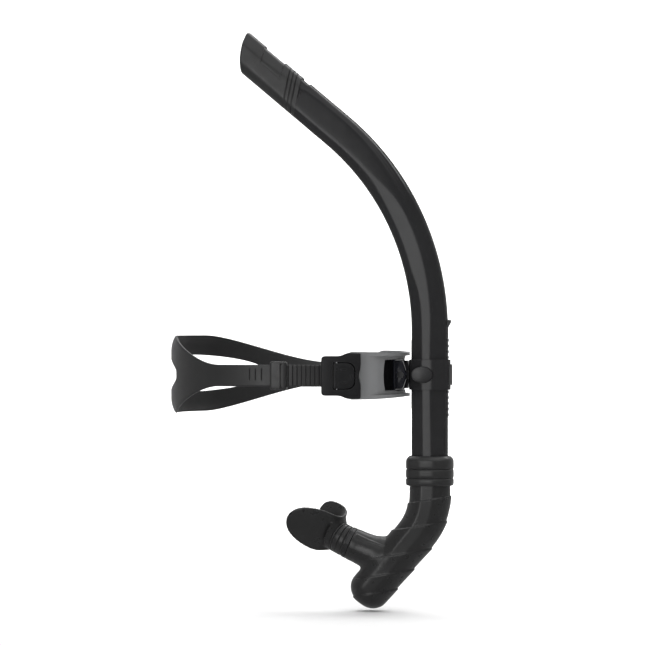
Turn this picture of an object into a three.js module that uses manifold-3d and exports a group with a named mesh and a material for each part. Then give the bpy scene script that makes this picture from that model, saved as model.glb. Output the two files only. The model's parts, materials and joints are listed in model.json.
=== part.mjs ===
// A centre-mount swimmer's snorkel: a forehead bracket with its strap and buckles, a tube that slides
// and tilts in a clip, and a soft elbow with a purge valve and a turning mouthpiece.
// Millimetres. +X is the way the swimmer faces, +Y is the swimmer's left, +Z is up.
// The origin is the middle of the forehead pad's rear face.

import * as THREE from 'three';
import { mergeVertices } from 'three/addons/utils/BufferGeometryUtils.js';
import Module from 'manifold-3d';

const wasm = await Module();
wasm.setup();

const GAP = 0.3;
const RAD = Math.PI / 180;

// Tube: an oval pipe, straight at the bottom, then one arc, then straight to the tip.
const TUBE_X = 30;
const TUBE_DEPTH = 14;
const TUBE_WIDTH = 10.5;
const TUBE_WALL = 1.8;
const TUBE_FOOT = -90;
const ARC_START = 33.5;
const ARC_RADIUS = 202;
const ARC_TURN = 50;
const TIP_STRAIGHT = 96;

// Tip cap: slanted mouth, pushed over the tube's reduced end.
const CAP_LENGTH = 57;
const CAP_SLANT = 29;
const SPIGOT_LENGTH = 16;
const CAP_WALL = 2.4;

// Forehead frame: a front arc, two corner arcs and two straight arms, seen from above.
const FRAME_FRONT = 8.5;
const FRAME_THICK = 3;
const FRAME_HALF_HEIGHT = 18;
const FRONT_RADIUS = 150;
const FRONT_HALF_ANGLE = 20;
const CORNER_RADIUS = 20;
const ARM_HEADING = 10;
const ARM_LENGTH = 5;
const WINDOW_HALF_WIDTH = 41;
const WINDOW_HALF_HEIGHT = 11.6;
const LIP_HALF_HEIGHT = 1.4;
const LIP_RISE = 3.6;
const LIP_REACH = 12;
const PAD_THICK = FRAME_FRONT - FRAME_THICK - GAP;
const PAD_HALF_HEIGHT = 16.4;
const PAD_REACH = 24;

// Tilt hinge between the clip base and the tube clip.
const PIVOT_X = 10;
const PIVOT_RADIUS = 3.4;
const PIN_RADIUS = 1.6;
const LUG_HALF_WIDTH = 7.2;
const EAR_HALF_WIDTH = 15.5;
const BASE_HALF_HEIGHT = 10.8;
const BASE_PLATE = [3.9, FRAME_FRONT - 2 - GAP];
const BASE_PLATE_HALF = [16.6, 14.8];
const SCREW_RADIUS = 1.2;
const SCREW_HEAD_RADIUS = 2.2;
const SCREW_PLACES = [12.9, -12.9];
const SCREW_END = 7.6;

// Tube clip.
const CLIP_HALF_HEIGHT = 11.6;
const CLIP_REAR = 14;
const CLIP_FRONT = 44.6;
const CLIP_HALF_WIDTH = 12;
const CLIP_CORNER = 8;
const CLIP_CHAMFER = 2;
const CLIP_NOSE = 1.4;
const BADGE_X = 26;
const BADGE_HALF_X = 8.4;
const BADGE_HALF_Z = 6.2;
const BADGE_SINK = 0.7;
const BADGE_THICK = 1.3;
const LATCH_HALF_HEIGHT = 8;
const LATCH_HALF_WIDTH = 4.4;

// Guide rail on the tube's rear and toothed rack on its front.
const RAIL_HALF_WIDTH = 3;
const RAIL_REAR = TUBE_X - TUBE_DEPTH + 0.05;
const RAIL_DEPTH = 0.9;
const RAIL_ENDS = [-26, 26.6];
const RACK_FRONT = TUBE_X + TUBE_DEPTH + 0.4;
const RACK_SEAT = 0.6;
const RACK_HALF_WIDTH = 3;
const RACK_ENDS = [-33, 42.3];
const RACK_PITCH = 4.4;
const TOOTH_HALF = 0.9;

// Buckles, in the arm's own axes: along the arm, up, and outward.
const BUCKLE_LENGTH = 29.5;
const BUCKLE_REAR = 18.5;
const BUCKLE_FRONT = BUCKLE_REAR - BUCKLE_LENGTH;
const BUCKLE_HALF_HEIGHT = 15;
const BUCKLE_DEPTH = 8;
const BUCKLE_WALL = 1.6;
const LEVER_HALF_HEIGHT = 9.8;
const LEVER_LENGTH = 16.2;
const LEVER_REAR = 9.4;
const LEVER_CORNER = 8;
const LEVER_PIN_RADIUS = 0.8;
const SHOULDER_HALF_HEIGHT = 17.4;
const SHOULDER_END = 3.7;
const CAVITY_HALF = LEVER_HALF_HEIGHT + 0.6;
const PIN_ALONG = LEVER_REAR - 2.5;
const PIN_OUT = 5.2;

// Strap: two gently bent tails joined by an arc behind the head.
const STRAP_THICK = 1.8;
const STRAP_BACK_X = -171.8;
const STRAP_GENTLE_TURN = 25;
const STRAP_TAIL_HALF = 8.25;
const STRAP_BACK_HALF = 30;
const STRAP_CENTRE_SHIFT = 2.5;
const STRAP_NEAR_TAPER = [25, 96];
const STRAP_FAR_TAPER = [38, 150];
const STRAP_SLOT_SHIFT = 28;
const STRAP_SLOT_HALF = 70;
const STRAP_SLOT_HEIGHT = 14.5;
const STRAP_INSERT = 15;
const STRAP_OUT = BUCKLE_WALL + GAP;
const KEEPER_START = 40;
const KEEPER_LENGTH = 12.5;
const KEEPER_WALL = 2.2;

// Elbow: a main leg from the tube to the purge end and an arm to the mouthpiece.
const COLLAR_TOP = -62.4;
const COLLAR_HEIGHT = 22.6;
const SLEEVE_TOP = -64.5;
const SLEEVE_DEPTH = 16.2;
const SLEEVE_WIDTH = 12.7;
const PURGE_RADIUS = 16.1;
const ELBOW_BEND_START = -93;
const ELBOW_BEND_RADIUS = 47;
const ELBOW_BEND_TURN = 40.3;
const PURGE_STRAIGHT = 56;
const SLEEVE_WALL = 2.6;
const PURGE_HOLE = 5.5;
const COLLAR_GROW = 2.1;
const DOME_ROOT = 2;
const DOME_FLATTEN = 0.8;
const SEAT_AT = -8;
const SEAT_THICK = 2;
const PORT_RADIUS = 2.6;
const PORT_CIRCLE = 5.6;
const DISC_RADIUS = 9.4;
const STEM_RADIUS = 1.2;

// Mouthpiece neck: the pivot lies on the arm's axis, which climbs toward the face.
const NECK_PIVOT = new THREE.Vector3(-38, 0, -127.6);
const NECK_CLIMB = 23.6;
const NECK_RADIUS = 12.4;
const NECK_BORE = 8.6;
const SWIVEL_ANGLE = 12;
const NECK_BEND = 16;
const BELLOWS_HALF = 4.2;
const ARM_END = 7.5;
const FLANGE_OFFSET = 6.5;
const FLANGE_THICK = 2.2;
const FLANGE_RADIUS = 17;
const FLANGE_TURN = 66;
const WING_LENGTH = 25;
const WING_HALF_HEIGHT = 17;
const BRIDGE_HALF_HEIGHT = 14.5;
const FLANGE_RISE = 2;
const BITE_START = 12;
const BITE_LENGTH = 14;
const TAB_HALF_HEIGHT = 1.3;
const TAB_REACH = 8;
const RIDGE_HALF_HEIGHT = 4.2;
const RIDGE_DEPTH = [7, 9.4];

const material = (colour, roughness, metalness = 0) => new THREE.MeshStandardMaterial({
  color: colour,
  roughness,
  metalness,
});

const LOOKS = {
  gloss: () => material('#2b2c2e', 0.32),
  black: () => material('#161617', 0.5),
  grey: () => material('#85868a', 0.42),
  smoke: () => material('#2a2d31', 0.2),
  soft: () => material('#232425', 0.62),
  steel: () => material('#b9bcc0', 0.25, 1),
};

// ---- Solids -------------------------------------------------------------------------------------

// Makes a solid of a closed geometry. A shape carried through a mirroring placement comes out with
// its faces pointing in, so its triangles are turned over.
function solidOf(geometry) {
  geometry.deleteAttribute('normal');
  geometry.deleteAttribute('uv');
  const merged = mergeVertices(geometry, 1e-4);
  const vertProperties = merged.attributes.position.array;
  const triVerts = Uint32Array.from(merged.index.array);
  const solid = new wasm.Manifold(new wasm.Mesh({ numProp: 3, vertProperties, triVerts }));
  if (solid.volume() > 0) return solid;
  return new wasm.Manifold(new wasm.Mesh({ numProp: 3, vertProperties, triVerts: triVerts.reverse() }));
}

function geometryOf(solid) {
  const mesh = solid.getMesh();
  const geometry = new THREE.BufferGeometry();
  geometry.setAttribute('position', new THREE.BufferAttribute(mesh.vertProperties, 3));
  geometry.setIndex(new THREE.BufferAttribute(mesh.triVerts, 1));
  geometry.computeVertexNormals();
  return geometry;
}

function moved(geometry, x, y, z) {
  geometry.translate(x, y, z);
  return solidOf(geometry);
}

function block(lowX, highX, lowY, highY, lowZ, highZ) {
  const geometry = new THREE.BoxGeometry(highX - lowX, highY - lowY, highZ - lowZ);
  return moved(geometry, (lowX + highX) / 2, (lowY + highY) / 2, (lowZ + highZ) / 2);
}

// A block that lies evenly about the middle plane and the height of the origin.
function middleBlock(lowX, highX, halfY, halfZ) {
  return block(lowX, highX, -halfY, halfY, -halfZ, halfZ);
}

function rodAlongY(radius, length, x, z, sides = 20) {
  return moved(new THREE.CylinderGeometry(radius, radius, length, sides), x, 0, z);
}

const unite = (first, ...rest) => rest.reduce((sum, solid) => sum.add(solid), first);
const cut = (first, ...rest) => rest.reduce((sum, solid) => sum.subtract(solid), first);

// An oval outline. power 1 is an ellipse; less than 1 makes it squarer.
function oval(halfX, halfY, sides = 24, power = 0.88) {
  const points = [];
  for (let i = 0; i < sides; i += 1) {
    const angle = (i / sides) * 2 * Math.PI;
    const c = Math.cos(angle);
    const s = Math.sin(angle);
    const x = halfX * Math.sign(c) * Math.abs(c) ** power;
    const y = halfY * Math.sign(s) * Math.abs(s) ** power;
    points.push(new THREE.Vector2(x, y));
  }
  return new THREE.Shape(points);
}

function rectangle(lowX, highX, lowY, highY) {
  return new THREE.Shape([
    new THREE.Vector2(lowX, lowY),
    new THREE.Vector2(highX, lowY),
    new THREE.Vector2(highX, highY),
    new THREE.Vector2(lowX, highY),
  ]);
}

// Extrudes a shape by length, then carries each point (x, y, distance) through place.
function sweep(shape, length, steps, place) {
  const geometry = new THREE.ExtrudeGeometry(shape, { depth: length, steps, bevelEnabled: false });
  const points = geometry.attributes.position;
  for (let i = 0; i < points.count; i += 1) {
    const point = place(points.getX(i), points.getY(i), points.getZ(i));
    points.setXYZ(i, point.x, point.y, point.z);
  }
  return solidOf(geometry);
}

// ---- Routes -------------------------------------------------------------------------------------

// A planar route made of legs { length, turn }, with turn in degrees, left positive.
function route(startU, startV, heading, legs) {
  const at = (distance) => {
    let u = startU;
    let v = startV;
    let angle = heading * RAD;
    let left = distance;
    for (const [index, leg] of legs.entries()) {
      const last = index === legs.length - 1;
      const run = last ? left : Math.min(left, leg.length);
      const bend = (leg.turn * RAD) / leg.length;
      const next = angle + bend * run;
      if (Math.abs(bend) < 1e-9) {
        u += run * Math.cos(angle);
        v += run * Math.sin(angle);
      } else {
        u += (Math.sin(next) - Math.sin(angle)) / bend;
        v -= (Math.cos(next) - Math.cos(angle)) / bend;
      }
      angle = next;
      left -= run;
      if (left <= 0) break;
    }
    return { u, v, angle };
  };
  return { at, length: legs.reduce((sum, leg) => sum + leg.length, 0) };
}

const arcLength = (radius, turn) => radius * Math.abs(turn) * RAD;

// Places a point on a route in the XZ plane: x is across (+Y), y is to the right of travel.
function onSideRoute(way, x, y, distance) {
  const { u, v, angle } = way.at(distance);
  return new THREE.Vector3(u - y * Math.sin(angle), x, v + y * Math.cos(angle));
}

// Places a point on a route seen from above: x is up, y is to the right of travel.
function onTopRoute(way, x, y, distance) {
  const { u, v, angle } = way.at(distance);
  return new THREE.Vector3(u + y * Math.sin(angle), v - y * Math.cos(angle), x);
}

const tubeRoute = route(TUBE_X, TUBE_FOOT, 90, [
  { length: ARC_START - TUBE_FOOT, turn: 0 },
  { length: arcLength(ARC_RADIUS, ARC_TURN), turn: ARC_TURN },
  { length: TIP_STRAIGHT, turn: 0 },
]);

const elbowRoute = route(TUBE_X, SLEEVE_TOP, -90, [
  { length: SLEEVE_TOP - ELBOW_BEND_START, turn: 0 },
  { length: arcLength(ELBOW_BEND_RADIUS, ELBOW_BEND_TURN), turn: -ELBOW_BEND_TURN },
  { length: PURGE_STRAIGHT, turn: 0 },
]);

const CORNER_TURN = 90 - FRONT_HALF_ANGLE - ARM_HEADING;
const frameLegs = [
  { length: ARM_LENGTH, turn: 0 },
  { length: arcLength(CORNER_RADIUS, CORNER_TURN), turn: CORNER_TURN },
  { length: arcLength(FRONT_RADIUS, 2 * FRONT_HALF_ANGLE), turn: 2 * FRONT_HALF_ANGLE },
  { length: arcLength(CORNER_RADIUS, CORNER_TURN), turn: CORNER_TURN },
  { length: ARM_LENGTH, turn: 0 },
];
const frameHalf = frameLegs.reduce((sum, leg) => sum + leg.length, 0) / 2;
const unplacedFrame = route(0, 0, ARM_HEADING, frameLegs);
const frameMiddle = unplacedFrame.at(frameHalf);
const frameRoute = route(
  FRAME_FRONT - FRAME_THICK / 2 - frameMiddle.u,
  -frameMiddle.v,
  ARM_HEADING,
  frameLegs,
);

// The far arm's own axes: the origin is the end of the frame, on its middle surface.
const armEnd = frameRoute.at(frameRoute.length);
const ARM_SURFACE = FRAME_THICK / 2 + GAP;

// Places a point on the far arm: along runs to the rear from the arm's front, out is off its surface.
function onArm(along, up, out) {
  const forward = new THREE.Vector2(Math.cos(armEnd.angle), Math.sin(armEnd.angle));
  const outward = new THREE.Vector2(forward.y, -forward.x);
  const x = armEnd.u + forward.x * along + outward.x * (out + ARM_SURFACE);
  const y = armEnd.v + forward.y * along + outward.y * (out + ARM_SURFACE);
  return new THREE.Vector3(x, y, up);
}

// The strap starts inside the near housing, runs out along the arm, bends gently and then goes round
// the back of the head. The two bend radii follow from where the back lies on the middle plane.
const armHeading = 180 + ARM_HEADING;
const strapStart = onArm(BUCKLE_REAR - STRAP_INSERT + 1, 0, STRAP_OUT + STRAP_THICK / 2);

function strapRadii() {
  const [start, middle, back] = [armHeading, armHeading - STRAP_GENTLE_TURN, 90].map((a) => a * RAD);
  const alongX = STRAP_BACK_X - strapStart.x - STRAP_INSERT * Math.cos(start);
  const alongY = strapStart.y - STRAP_INSERT * Math.sin(start);
  const gentle = [Math.sin(start) - Math.sin(middle), Math.cos(middle) - Math.cos(start)];
  const round = [Math.sin(middle) - Math.sin(back), Math.cos(back) - Math.cos(middle)];
  const scale = gentle[0] * round[1] - gentle[1] * round[0];
  return {
    gentle: (alongX * round[1] - alongY * round[0]) / scale,
    round: (gentle[0] * alongY - gentle[1] * alongX) / scale,
  };
}

const strapRadius = strapRadii();
const backTurn = 2 * (armHeading - STRAP_GENTLE_TURN - 90);
const strapRoute = route(strapStart.x, -strapStart.y, armHeading, [
  { length: STRAP_INSERT, turn: 0 },
  { length: arcLength(strapRadius.gentle, STRAP_GENTLE_TURN), turn: -STRAP_GENTLE_TURN },
  { length: arcLength(strapRadius.round, backTurn), turn: -backTurn },
  { length: arcLength(strapRadius.gentle, STRAP_GENTLE_TURN), turn: -STRAP_GENTLE_TURN },
  { length: STRAP_INSERT, turn: 0 },
]);

// ---- Head harness -------------------------------------------------------------------------------

// A swept plate on the frame's route, between two distances off its middle surface.
function framePlate(halfHeight, inner, outer, from, to, steps) {
  return sweep(
    rectangle(-halfHeight, halfHeight, inner, outer),
    to - from,
    steps,
    (x, y, s) => onTopRoute(frameRoute, x, y, from + s),
  );
}

// The room for the clip base's plate behind the frame's front face.
function basePocket() {
  const [halfY, halfZ] = BASE_PLATE_HALF;
  return middleBlock(-2, FRAME_FRONT - 2, halfY + 0.4, halfZ + 0.4);
}

function bracketFrame() {
  const half = FRAME_THICK / 2;
  const plate = framePlate(FRAME_HALF_HEIGHT, -half, half, 0, frameRoute.length, 30);
  const window = middleBlock(-12, 20, WINDOW_HALF_WIDTH, WINDOW_HALF_HEIGHT);
  const lipEnd = frameRoute.length - LIP_REACH;
  const lip = framePlate(LIP_HALF_HEIGHT, -half, half + LIP_RISE, LIP_REACH, lipEnd, 24);
  const lipHeight = FRAME_HALF_HEIGHT - 1.8;
  const body = unite(plate, lip.translate(0, 0, lipHeight), lip.translate(0, 0, -lipHeight));
  return cut(body, window, basePocket(), ...SCREW_PLACES.map(screwHole));
}

function foreheadPad() {
  const face = -FRAME_THICK / 2 - GAP;
  const end = frameRoute.length - PAD_REACH;
  const pad = framePlate(PAD_HALF_HEIGHT, face - PAD_THICK, face, PAD_REACH, end, 28);
  const [halfY, halfZ] = BASE_PLATE_HALF;
  return cut(pad, middleBlock(2.2, 20, halfY + 0.8, halfZ + 0.8));
}

function clipBase() {
  const plate = middleBlock(...BASE_PLATE, ...BASE_PLATE_HALF);
  const root = middleBlock(4, 6.1, EAR_HALF_WIDTH, BASE_HALF_HEIGHT);
  const side = new THREE.Shape([
    new THREE.Vector2(5, -BASE_HALF_HEIGHT),
    new THREE.Vector2(11, -BASE_HALF_HEIGHT),
    new THREE.Vector2(PIVOT_X + PIVOT_RADIUS, -3),
    new THREE.Vector2(PIVOT_X + PIVOT_RADIUS, 3),
    new THREE.Vector2(11, BASE_HALF_HEIGHT),
    new THREE.Vector2(5, BASE_HALF_HEIGHT),
  ]);
  const ears = sweep(side, 2 * EAR_HALF_WIDTH, 1, (x, y, s) => new THREE.Vector3(x, EAR_HALF_WIDTH - s, y));
  const slot = middleBlock(6.1, 20, LUG_HALF_WIDTH + GAP, 20);
  const bore = rodAlongY(PIN_RADIUS + GAP, 60, PIVOT_X, 0);
  return cut(unite(plate, root, cut(ears, slot)), bore, ...SCREW_PLACES.map(screwHole));
}

// A cylinder along X between two depths, at a height on the middle plane.
function rodAlongX(radius, lowX, highX, z) {
  const geometry = new THREE.CylinderGeometry(radius, radius, highX - lowX, 16);
  geometry.rotateZ(Math.PI / 2);
  return moved(geometry, (lowX + highX) / 2, 0, z);
}

function screwHole(z) {
  return rodAlongX(SCREW_RADIUS + GAP, -5, SCREW_END + GAP, z);
}

function baseScrew(z) {
  return unite(rodAlongX(SCREW_RADIUS, 3, SCREW_END, z), rodAlongX(SCREW_HEAD_RADIUS, 2.6, 3.6, z));
}

function tiltPin() {
  const shank = rodAlongY(PIN_RADIUS, 2 * EAR_HALF_WIDTH + 1, PIVOT_X, 0);
  const heads = [1, -1].map((side) => moved(
    new THREE.CylinderGeometry(2.6, 2.6, 0.9, 20),
    PIVOT_X,
    side * (EAR_HALF_WIDTH + GAP + 0.45),
    0,
  ));
  return unite(shank, ...heads);
}

// ---- Buckles, drawn for the far side and mirrored for the near one --------------------------------

// A box in the arm's axes.
function armBlock(alongLow, alongHigh, upLow, upHigh, outLow, outHigh) {
  return sweep(
    rectangle(upLow, upHigh, outLow, outHigh),
    alongHigh - alongLow,
    1,
    (x, y, s) => onArm(alongLow + s, x, y),
  );
}

function armPin(radius, halfLength, along, out, sides = 16) {
  const geometry = new THREE.CylinderGeometry(radius, radius, 2 * halfLength, sides);
  geometry.rotateX(Math.PI / 2);
  const centre = onArm(along, 0, out);
  return moved(geometry, centre.x, centre.y, centre.z);
}

function leverOutline(grow) {
  const front = LEVER_REAR - LEVER_LENGTH - grow;
  const half = LEVER_HALF_HEIGHT + grow;
  const radius = LEVER_CORNER;
  const shape = new THREE.Shape();
  shape.moveTo(-half, LEVER_REAR + grow);
  shape.lineTo(-half, front + radius);
  shape.absarc(-half + radius, front + radius, radius, Math.PI, 1.5 * Math.PI, false);
  shape.lineTo(half - radius, front);
  shape.absarc(half - radius, front + radius, radius, 1.5 * Math.PI, 2 * Math.PI, false);
  shape.lineTo(half, LEVER_REAR + grow);
  return shape;
}

function leverPlate(grow, outLow, outHigh) {
  return sweep(leverOutline(grow), outHigh - outLow, 1, (x, y, s) => onArm(y, x, outLow + s));
}

function buckleHousing() {
  const body = armBlock(BUCKLE_FRONT, BUCKLE_REAR, -BUCKLE_HALF_HEIGHT, BUCKLE_HALF_HEIGHT, 0, BUCKLE_DEPTH);
  const shoulder = armBlock(
    BUCKLE_FRONT,
    SHOULDER_END,
    -SHOULDER_HALF_HEIGHT,
    SHOULDER_HALF_HEIGHT,
    0,
    BUCKLE_DEPTH - BUCKLE_WALL,
  );
  const cavity = armBlock(
    BUCKLE_FRONT + 2,
    BUCKLE_REAR + 5,
    -CAVITY_HALF,
    CAVITY_HALF,
    BUCKLE_WALL,
    BUCKLE_DEPTH - BUCKLE_WALL,
  );
  const window = leverPlate(0.35, BUCKLE_DEPTH - BUCKLE_WALL - 1, BUCKLE_DEPTH + 2);
  const pinHole = armPin(LEVER_PIN_RADIUS + GAP, CAVITY_HALF + 2.5, PIN_ALONG, PIN_OUT);
  return cut(unite(body, shoulder), cavity, window, pinHole);
}

function releaseLever() {
  const plate = leverPlate(0, BUCKLE_DEPTH - BUCKLE_WALL, BUCKLE_DEPTH);
  const boss = armPin(LEVER_PIN_RADIUS + 0.5, LEVER_HALF_HEIGHT - 1, PIN_ALONG, PIN_OUT);
  const inset = LEVER_HALF_HEIGHT - 1;
  const neck = armBlock(PIN_ALONG - 1, PIN_ALONG + 1, -inset, inset, PIN_OUT, 7);
  const pawl = armBlock(LEVER_REAR - 1.2, LEVER_REAR, -7, 7, 4.7, 7);
  const bore = armPin(LEVER_PIN_RADIUS + GAP, 20, PIN_ALONG, PIN_OUT);
  return cut(unite(plate, boss, neck, pawl), bore);
}

function leverPin() {
  return armPin(LEVER_PIN_RADIUS, CAVITY_HALF + 2, PIN_ALONG, PIN_OUT);
}

// A bent leaf that presses the lever's front end outward.
function leverSpring() {
  const start = LEVER_REAR - LEVER_LENGTH;
  const foot = armBlock(start, start + 6.5, -3, 3, BUCKLE_WALL + 0.2, BUCKLE_WALL + 0.6);
  const leaf = sweep(
    rectangle(-3, 3, -0.2, 0.2),
    7,
    4,
    (x, y, s) => onArm(start + s * 0.9, x, BUCKLE_WALL + 0.5 + y + (s / 7) * 2.6),
  );
  return unite(foot, leaf);
}

// ---- Strap --------------------------------------------------------------------------------------

const smooth = (t) => {
  const clamped = Math.min(1, Math.max(0, t));
  return clamped * clamped * (3 - 2 * clamped);
};

const strapCentre = strapRoute.length / 2 + STRAP_CENTRE_SHIFT;
const slotCentre = strapRoute.length / 2 + STRAP_SLOT_SHIFT;

// The strap is full height behind the head and tapers more slowly on the far side.
function strapHalfHeight(s) {
  const [full, end] = s < strapCentre ? STRAP_NEAR_TAPER : STRAP_FAR_TAPER;
  const taper = smooth((Math.abs(s - strapCentre) - full) / (end - full));
  return STRAP_BACK_HALF + (STRAP_TAIL_HALF - STRAP_BACK_HALF) * taper;
}

function strapSlotHalf(s) {
  const across = Math.min(1, Math.abs(s - slotCentre) / STRAP_SLOT_HALF);
  return STRAP_SLOT_HEIGHT * Math.sqrt(1 - across ** 2) + GAP;
}

function strap() {
  const half = STRAP_THICK / 2;
  const whole = sweep(
    rectangle(-1, 1, -half, half),
    strapRoute.length,
    72,
    (x, y, s) => onTopRoute(strapRoute, x * strapHalfHeight(s), y, s),
  );
  const start = slotCentre - STRAP_SLOT_HALF;
  const slot = sweep(
    rectangle(-1, 1, -half - 1, half + 1),
    2 * STRAP_SLOT_HALF,
    26,
    (x, y, s) => onTopRoute(strapRoute, x * strapSlotHalf(start + s), y, start + s),
  );
  return cut(whole, slot);
}

function strapKeeper() {
  const ring = (grow, extra) => {
    const halfHeight = STRAP_TAIL_HALF + GAP + grow;
    const halfThick = STRAP_THICK / 2 + GAP + grow;
    return sweep(
      rectangle(-halfHeight, halfHeight, -halfThick, halfThick),
      KEEPER_LENGTH + extra,
      1,
      (x, y, s) => onTopRoute(strapRoute, x, y, KEEPER_START - extra / 2 + s),
    );
  };
  return cut(ring(KEEPER_WALL, 0), ring(0, 4));
}

// ---- Clip ---------------------------------------------------------------------------------------

function tubeColumn(grow, low, high, sides = 20) {
  const shape = oval(TUBE_WIDTH + grow, TUBE_DEPTH + grow, sides);
  return sweep(shape, high - low, 1, (x, y, s) => new THREE.Vector3(TUBE_X - y, x, low + s));
}

function tubeClip() {
  const outline = new THREE.Shape();
  const half = CLIP_HALF_WIDTH;
  const front = CLIP_FRONT + CLIP_NOSE;
  const cornerX = front - CLIP_CORNER;
  const cornerY = half - CLIP_CORNER;
  outline.moveTo(CLIP_REAR, -half + CLIP_CHAMFER);
  outline.lineTo(CLIP_REAR + CLIP_CHAMFER, -half);
  outline.lineTo(cornerX, -half);
  outline.absarc(cornerX, -cornerY, CLIP_CORNER, -Math.PI / 2, 0, false);
  outline.lineTo(front, cornerY);
  outline.absarc(cornerX, cornerY, CLIP_CORNER, 0, Math.PI / 2, false);
  outline.lineTo(CLIP_REAR + CLIP_CHAMFER, half);
  outline.lineTo(CLIP_REAR, half - CLIP_CHAMFER);
  const height = 2 * CLIP_HALF_HEIGHT;
  const ring = sweep(outline, height, 1, (x, y, s) => new THREE.Vector3(x, y, s - CLIP_HALF_HEIGHT));
  const lug = middleBlock(PIVOT_X, CLIP_REAR + 1, LUG_HALF_WIDTH, PIVOT_RADIUS);
  const knuckle = rodAlongY(PIVOT_RADIUS, 2 * LUG_HALF_WIDTH, PIVOT_X, 0);
  const bore = rodAlongY(PIN_RADIUS + GAP, 60, PIVOT_X, 0);
  const tubeSpace = tubeColumn(GAP, -30, 30);
  const railSpace = middleBlock(RAIL_REAR - GAP, TUBE_X, RAIL_HALF_WIDTH + GAP, 30);
  const rackSpace = middleBlock(TUBE_X, RACK_FRONT + GAP, RACK_HALF_WIDTH + GAP, 30);
  const latchSpace = middleBlock(
    TUBE_X + TUBE_DEPTH,
    CLIP_FRONT + 9,
    LATCH_HALF_WIDTH + GAP,
    LATCH_HALF_HEIGHT + GAP,
  );
  const seats = [1, -1].map((side) => badge(side, GAP));
  return cut(unite(ring, lug, knuckle), bore, tubeSpace, railSpace, rackSpace, latchSpace, ...seats);
}

// An oval disc set into one side of the clip.
function badge(side, grow = 0) {
  const low = CLIP_HALF_WIDTH - BADGE_SINK - grow;
  const shape = oval(BADGE_HALF_X + grow, BADGE_HALF_Z + grow, 24, 1);
  return sweep(shape, BADGE_THICK + grow, 1, (x, y, s) => (
    new THREE.Vector3(BADGE_X + x, side * (low + s), -side * y)
  ));
}

function heightLatch() {
  const face = middleBlock(CLIP_FRONT + 0.4, CLIP_FRONT + 2.2, LATCH_HALF_WIDTH, LATCH_HALF_HEIGHT);
  const tooth = middleBlock(RACK_FRONT + 0.4, CLIP_FRONT + 1, 2.4, TOOTH_HALF);
  return unite(face, tooth);
}

// ---- Tube ---------------------------------------------------------------------------------------

// A length of tube-shaped solid along the tube's route.
function alongTube(halfWidth, halfDepth, from, to, steps, sides = 20) {
  return sweep(
    oval(halfWidth, halfDepth, sides),
    to - from,
    steps,
    (x, y, s) => onSideRoute(tubeRoute, x, y, from + s),
  );
}

const TUBE_LENGTH = tubeRoute.length;
const CAP_START = TUBE_LENGTH - CAP_LENGTH;
const BORE_WIDTH = TUBE_WIDTH - TUBE_WALL;
const BORE_DEPTH = TUBE_DEPTH - TUBE_WALL;

function tube() {
  const wallEnd = CAP_START - GAP;
  const outer = alongTube(TUBE_WIDTH, TUBE_DEPTH, 0, wallEnd, 18);
  const spigot = alongTube(TUBE_WIDTH - 0.9, TUBE_DEPTH - 0.9, wallEnd - 2, CAP_START + SPIGOT_LENGTH, 2);
  const bore = alongTube(BORE_WIDTH, BORE_DEPTH, -2, CAP_START + SPIGOT_LENGTH + 2, 18);
  const railSeat = seat(0, RAIL_REAR + RAIL_DEPTH + GAP, RAIL_HALF_WIDTH, RAIL_ENDS);
  const rackSeat = seat(TUBE_X + TUBE_DEPTH - RACK_SEAT, 60, RACK_HALF_WIDTH, RACK_ENDS);
  return cut(unite(outer, spigot), bore, railSeat, rackSeat);
}

// The room that a strip on the tube needs, with a gap round it.
function seat(lowX, highX, halfWidth, [low, high]) {
  const halfY = halfWidth + GAP;
  return block(lowX, highX, -halfY, halfY, low - GAP, high + GAP);
}

function rearRail() {
  const rear = RAIL_REAR + RAIL_DEPTH;
  return block(RAIL_REAR, rear, -RAIL_HALF_WIDTH, RAIL_HALF_WIDTH, ...RAIL_ENDS);
}

function frontRack() {
  const back = TUBE_X + TUBE_DEPTH - RACK_SEAT + GAP;
  const strip = block(back, RACK_FRONT - 0.4, -RACK_HALF_WIDTH, RACK_HALF_WIDTH, ...RACK_ENDS);
  const teeth = [];
  for (let z = RACK_ENDS[0] + RACK_PITCH / 2; z < 29; z += RACK_PITCH) {
    const [low, high] = [z - TOOTH_HALF, z + TOOTH_HALF];
    teeth.push(block(back, RACK_FRONT, -RACK_HALF_WIDTH, RACK_HALF_WIDTH, low, high));
  }
  const hook = new THREE.Shape([
    new THREE.Vector2(back, 35.5),
    new THREE.Vector2(RACK_FRONT + 1.8, 40),
    new THREE.Vector2(RACK_FRONT + 1.8, 42),
    new THREE.Vector2(back, 42),
  ]);
  const stop = sweep(hook, 5, 1, (x, y, s) => new THREE.Vector3(x, 2.5 - s, y));
  return unite(strip, stop, ...teeth);
}

function tipCap() {
  const end = TUBE_LENGTH + 10;
  const outer = alongTube(TUBE_WIDTH + 0.1, TUBE_DEPTH + 0.1, CAP_START, end, 6);
  const socketEnd = CAP_START + SPIGOT_LENGTH + 2 * GAP;
  const socket = alongTube(TUBE_WIDTH - 0.6, TUBE_DEPTH - 0.6, CAP_START - 2, socketEnd, 2);
  const bore = alongTube(TUBE_WIDTH - CAP_WALL, TUBE_DEPTH - CAP_WALL, CAP_START, end + 2, 6);
  const slant = Math.tan(CAP_SLANT * RAD);
  const waste = sweep(
    rectangle(-30, 30, -30, 30),
    60,
    1,
    (x, y, s) => onSideRoute(tubeRoute, x, y, TUBE_LENGTH - y * slant + s),
  );
  return cut(outer, socket, bore, waste);
}

// ---- Elbow --------------------------------------------------------------------------------------

const mix = (a, b, t) => a + (b - a) * t;

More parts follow.
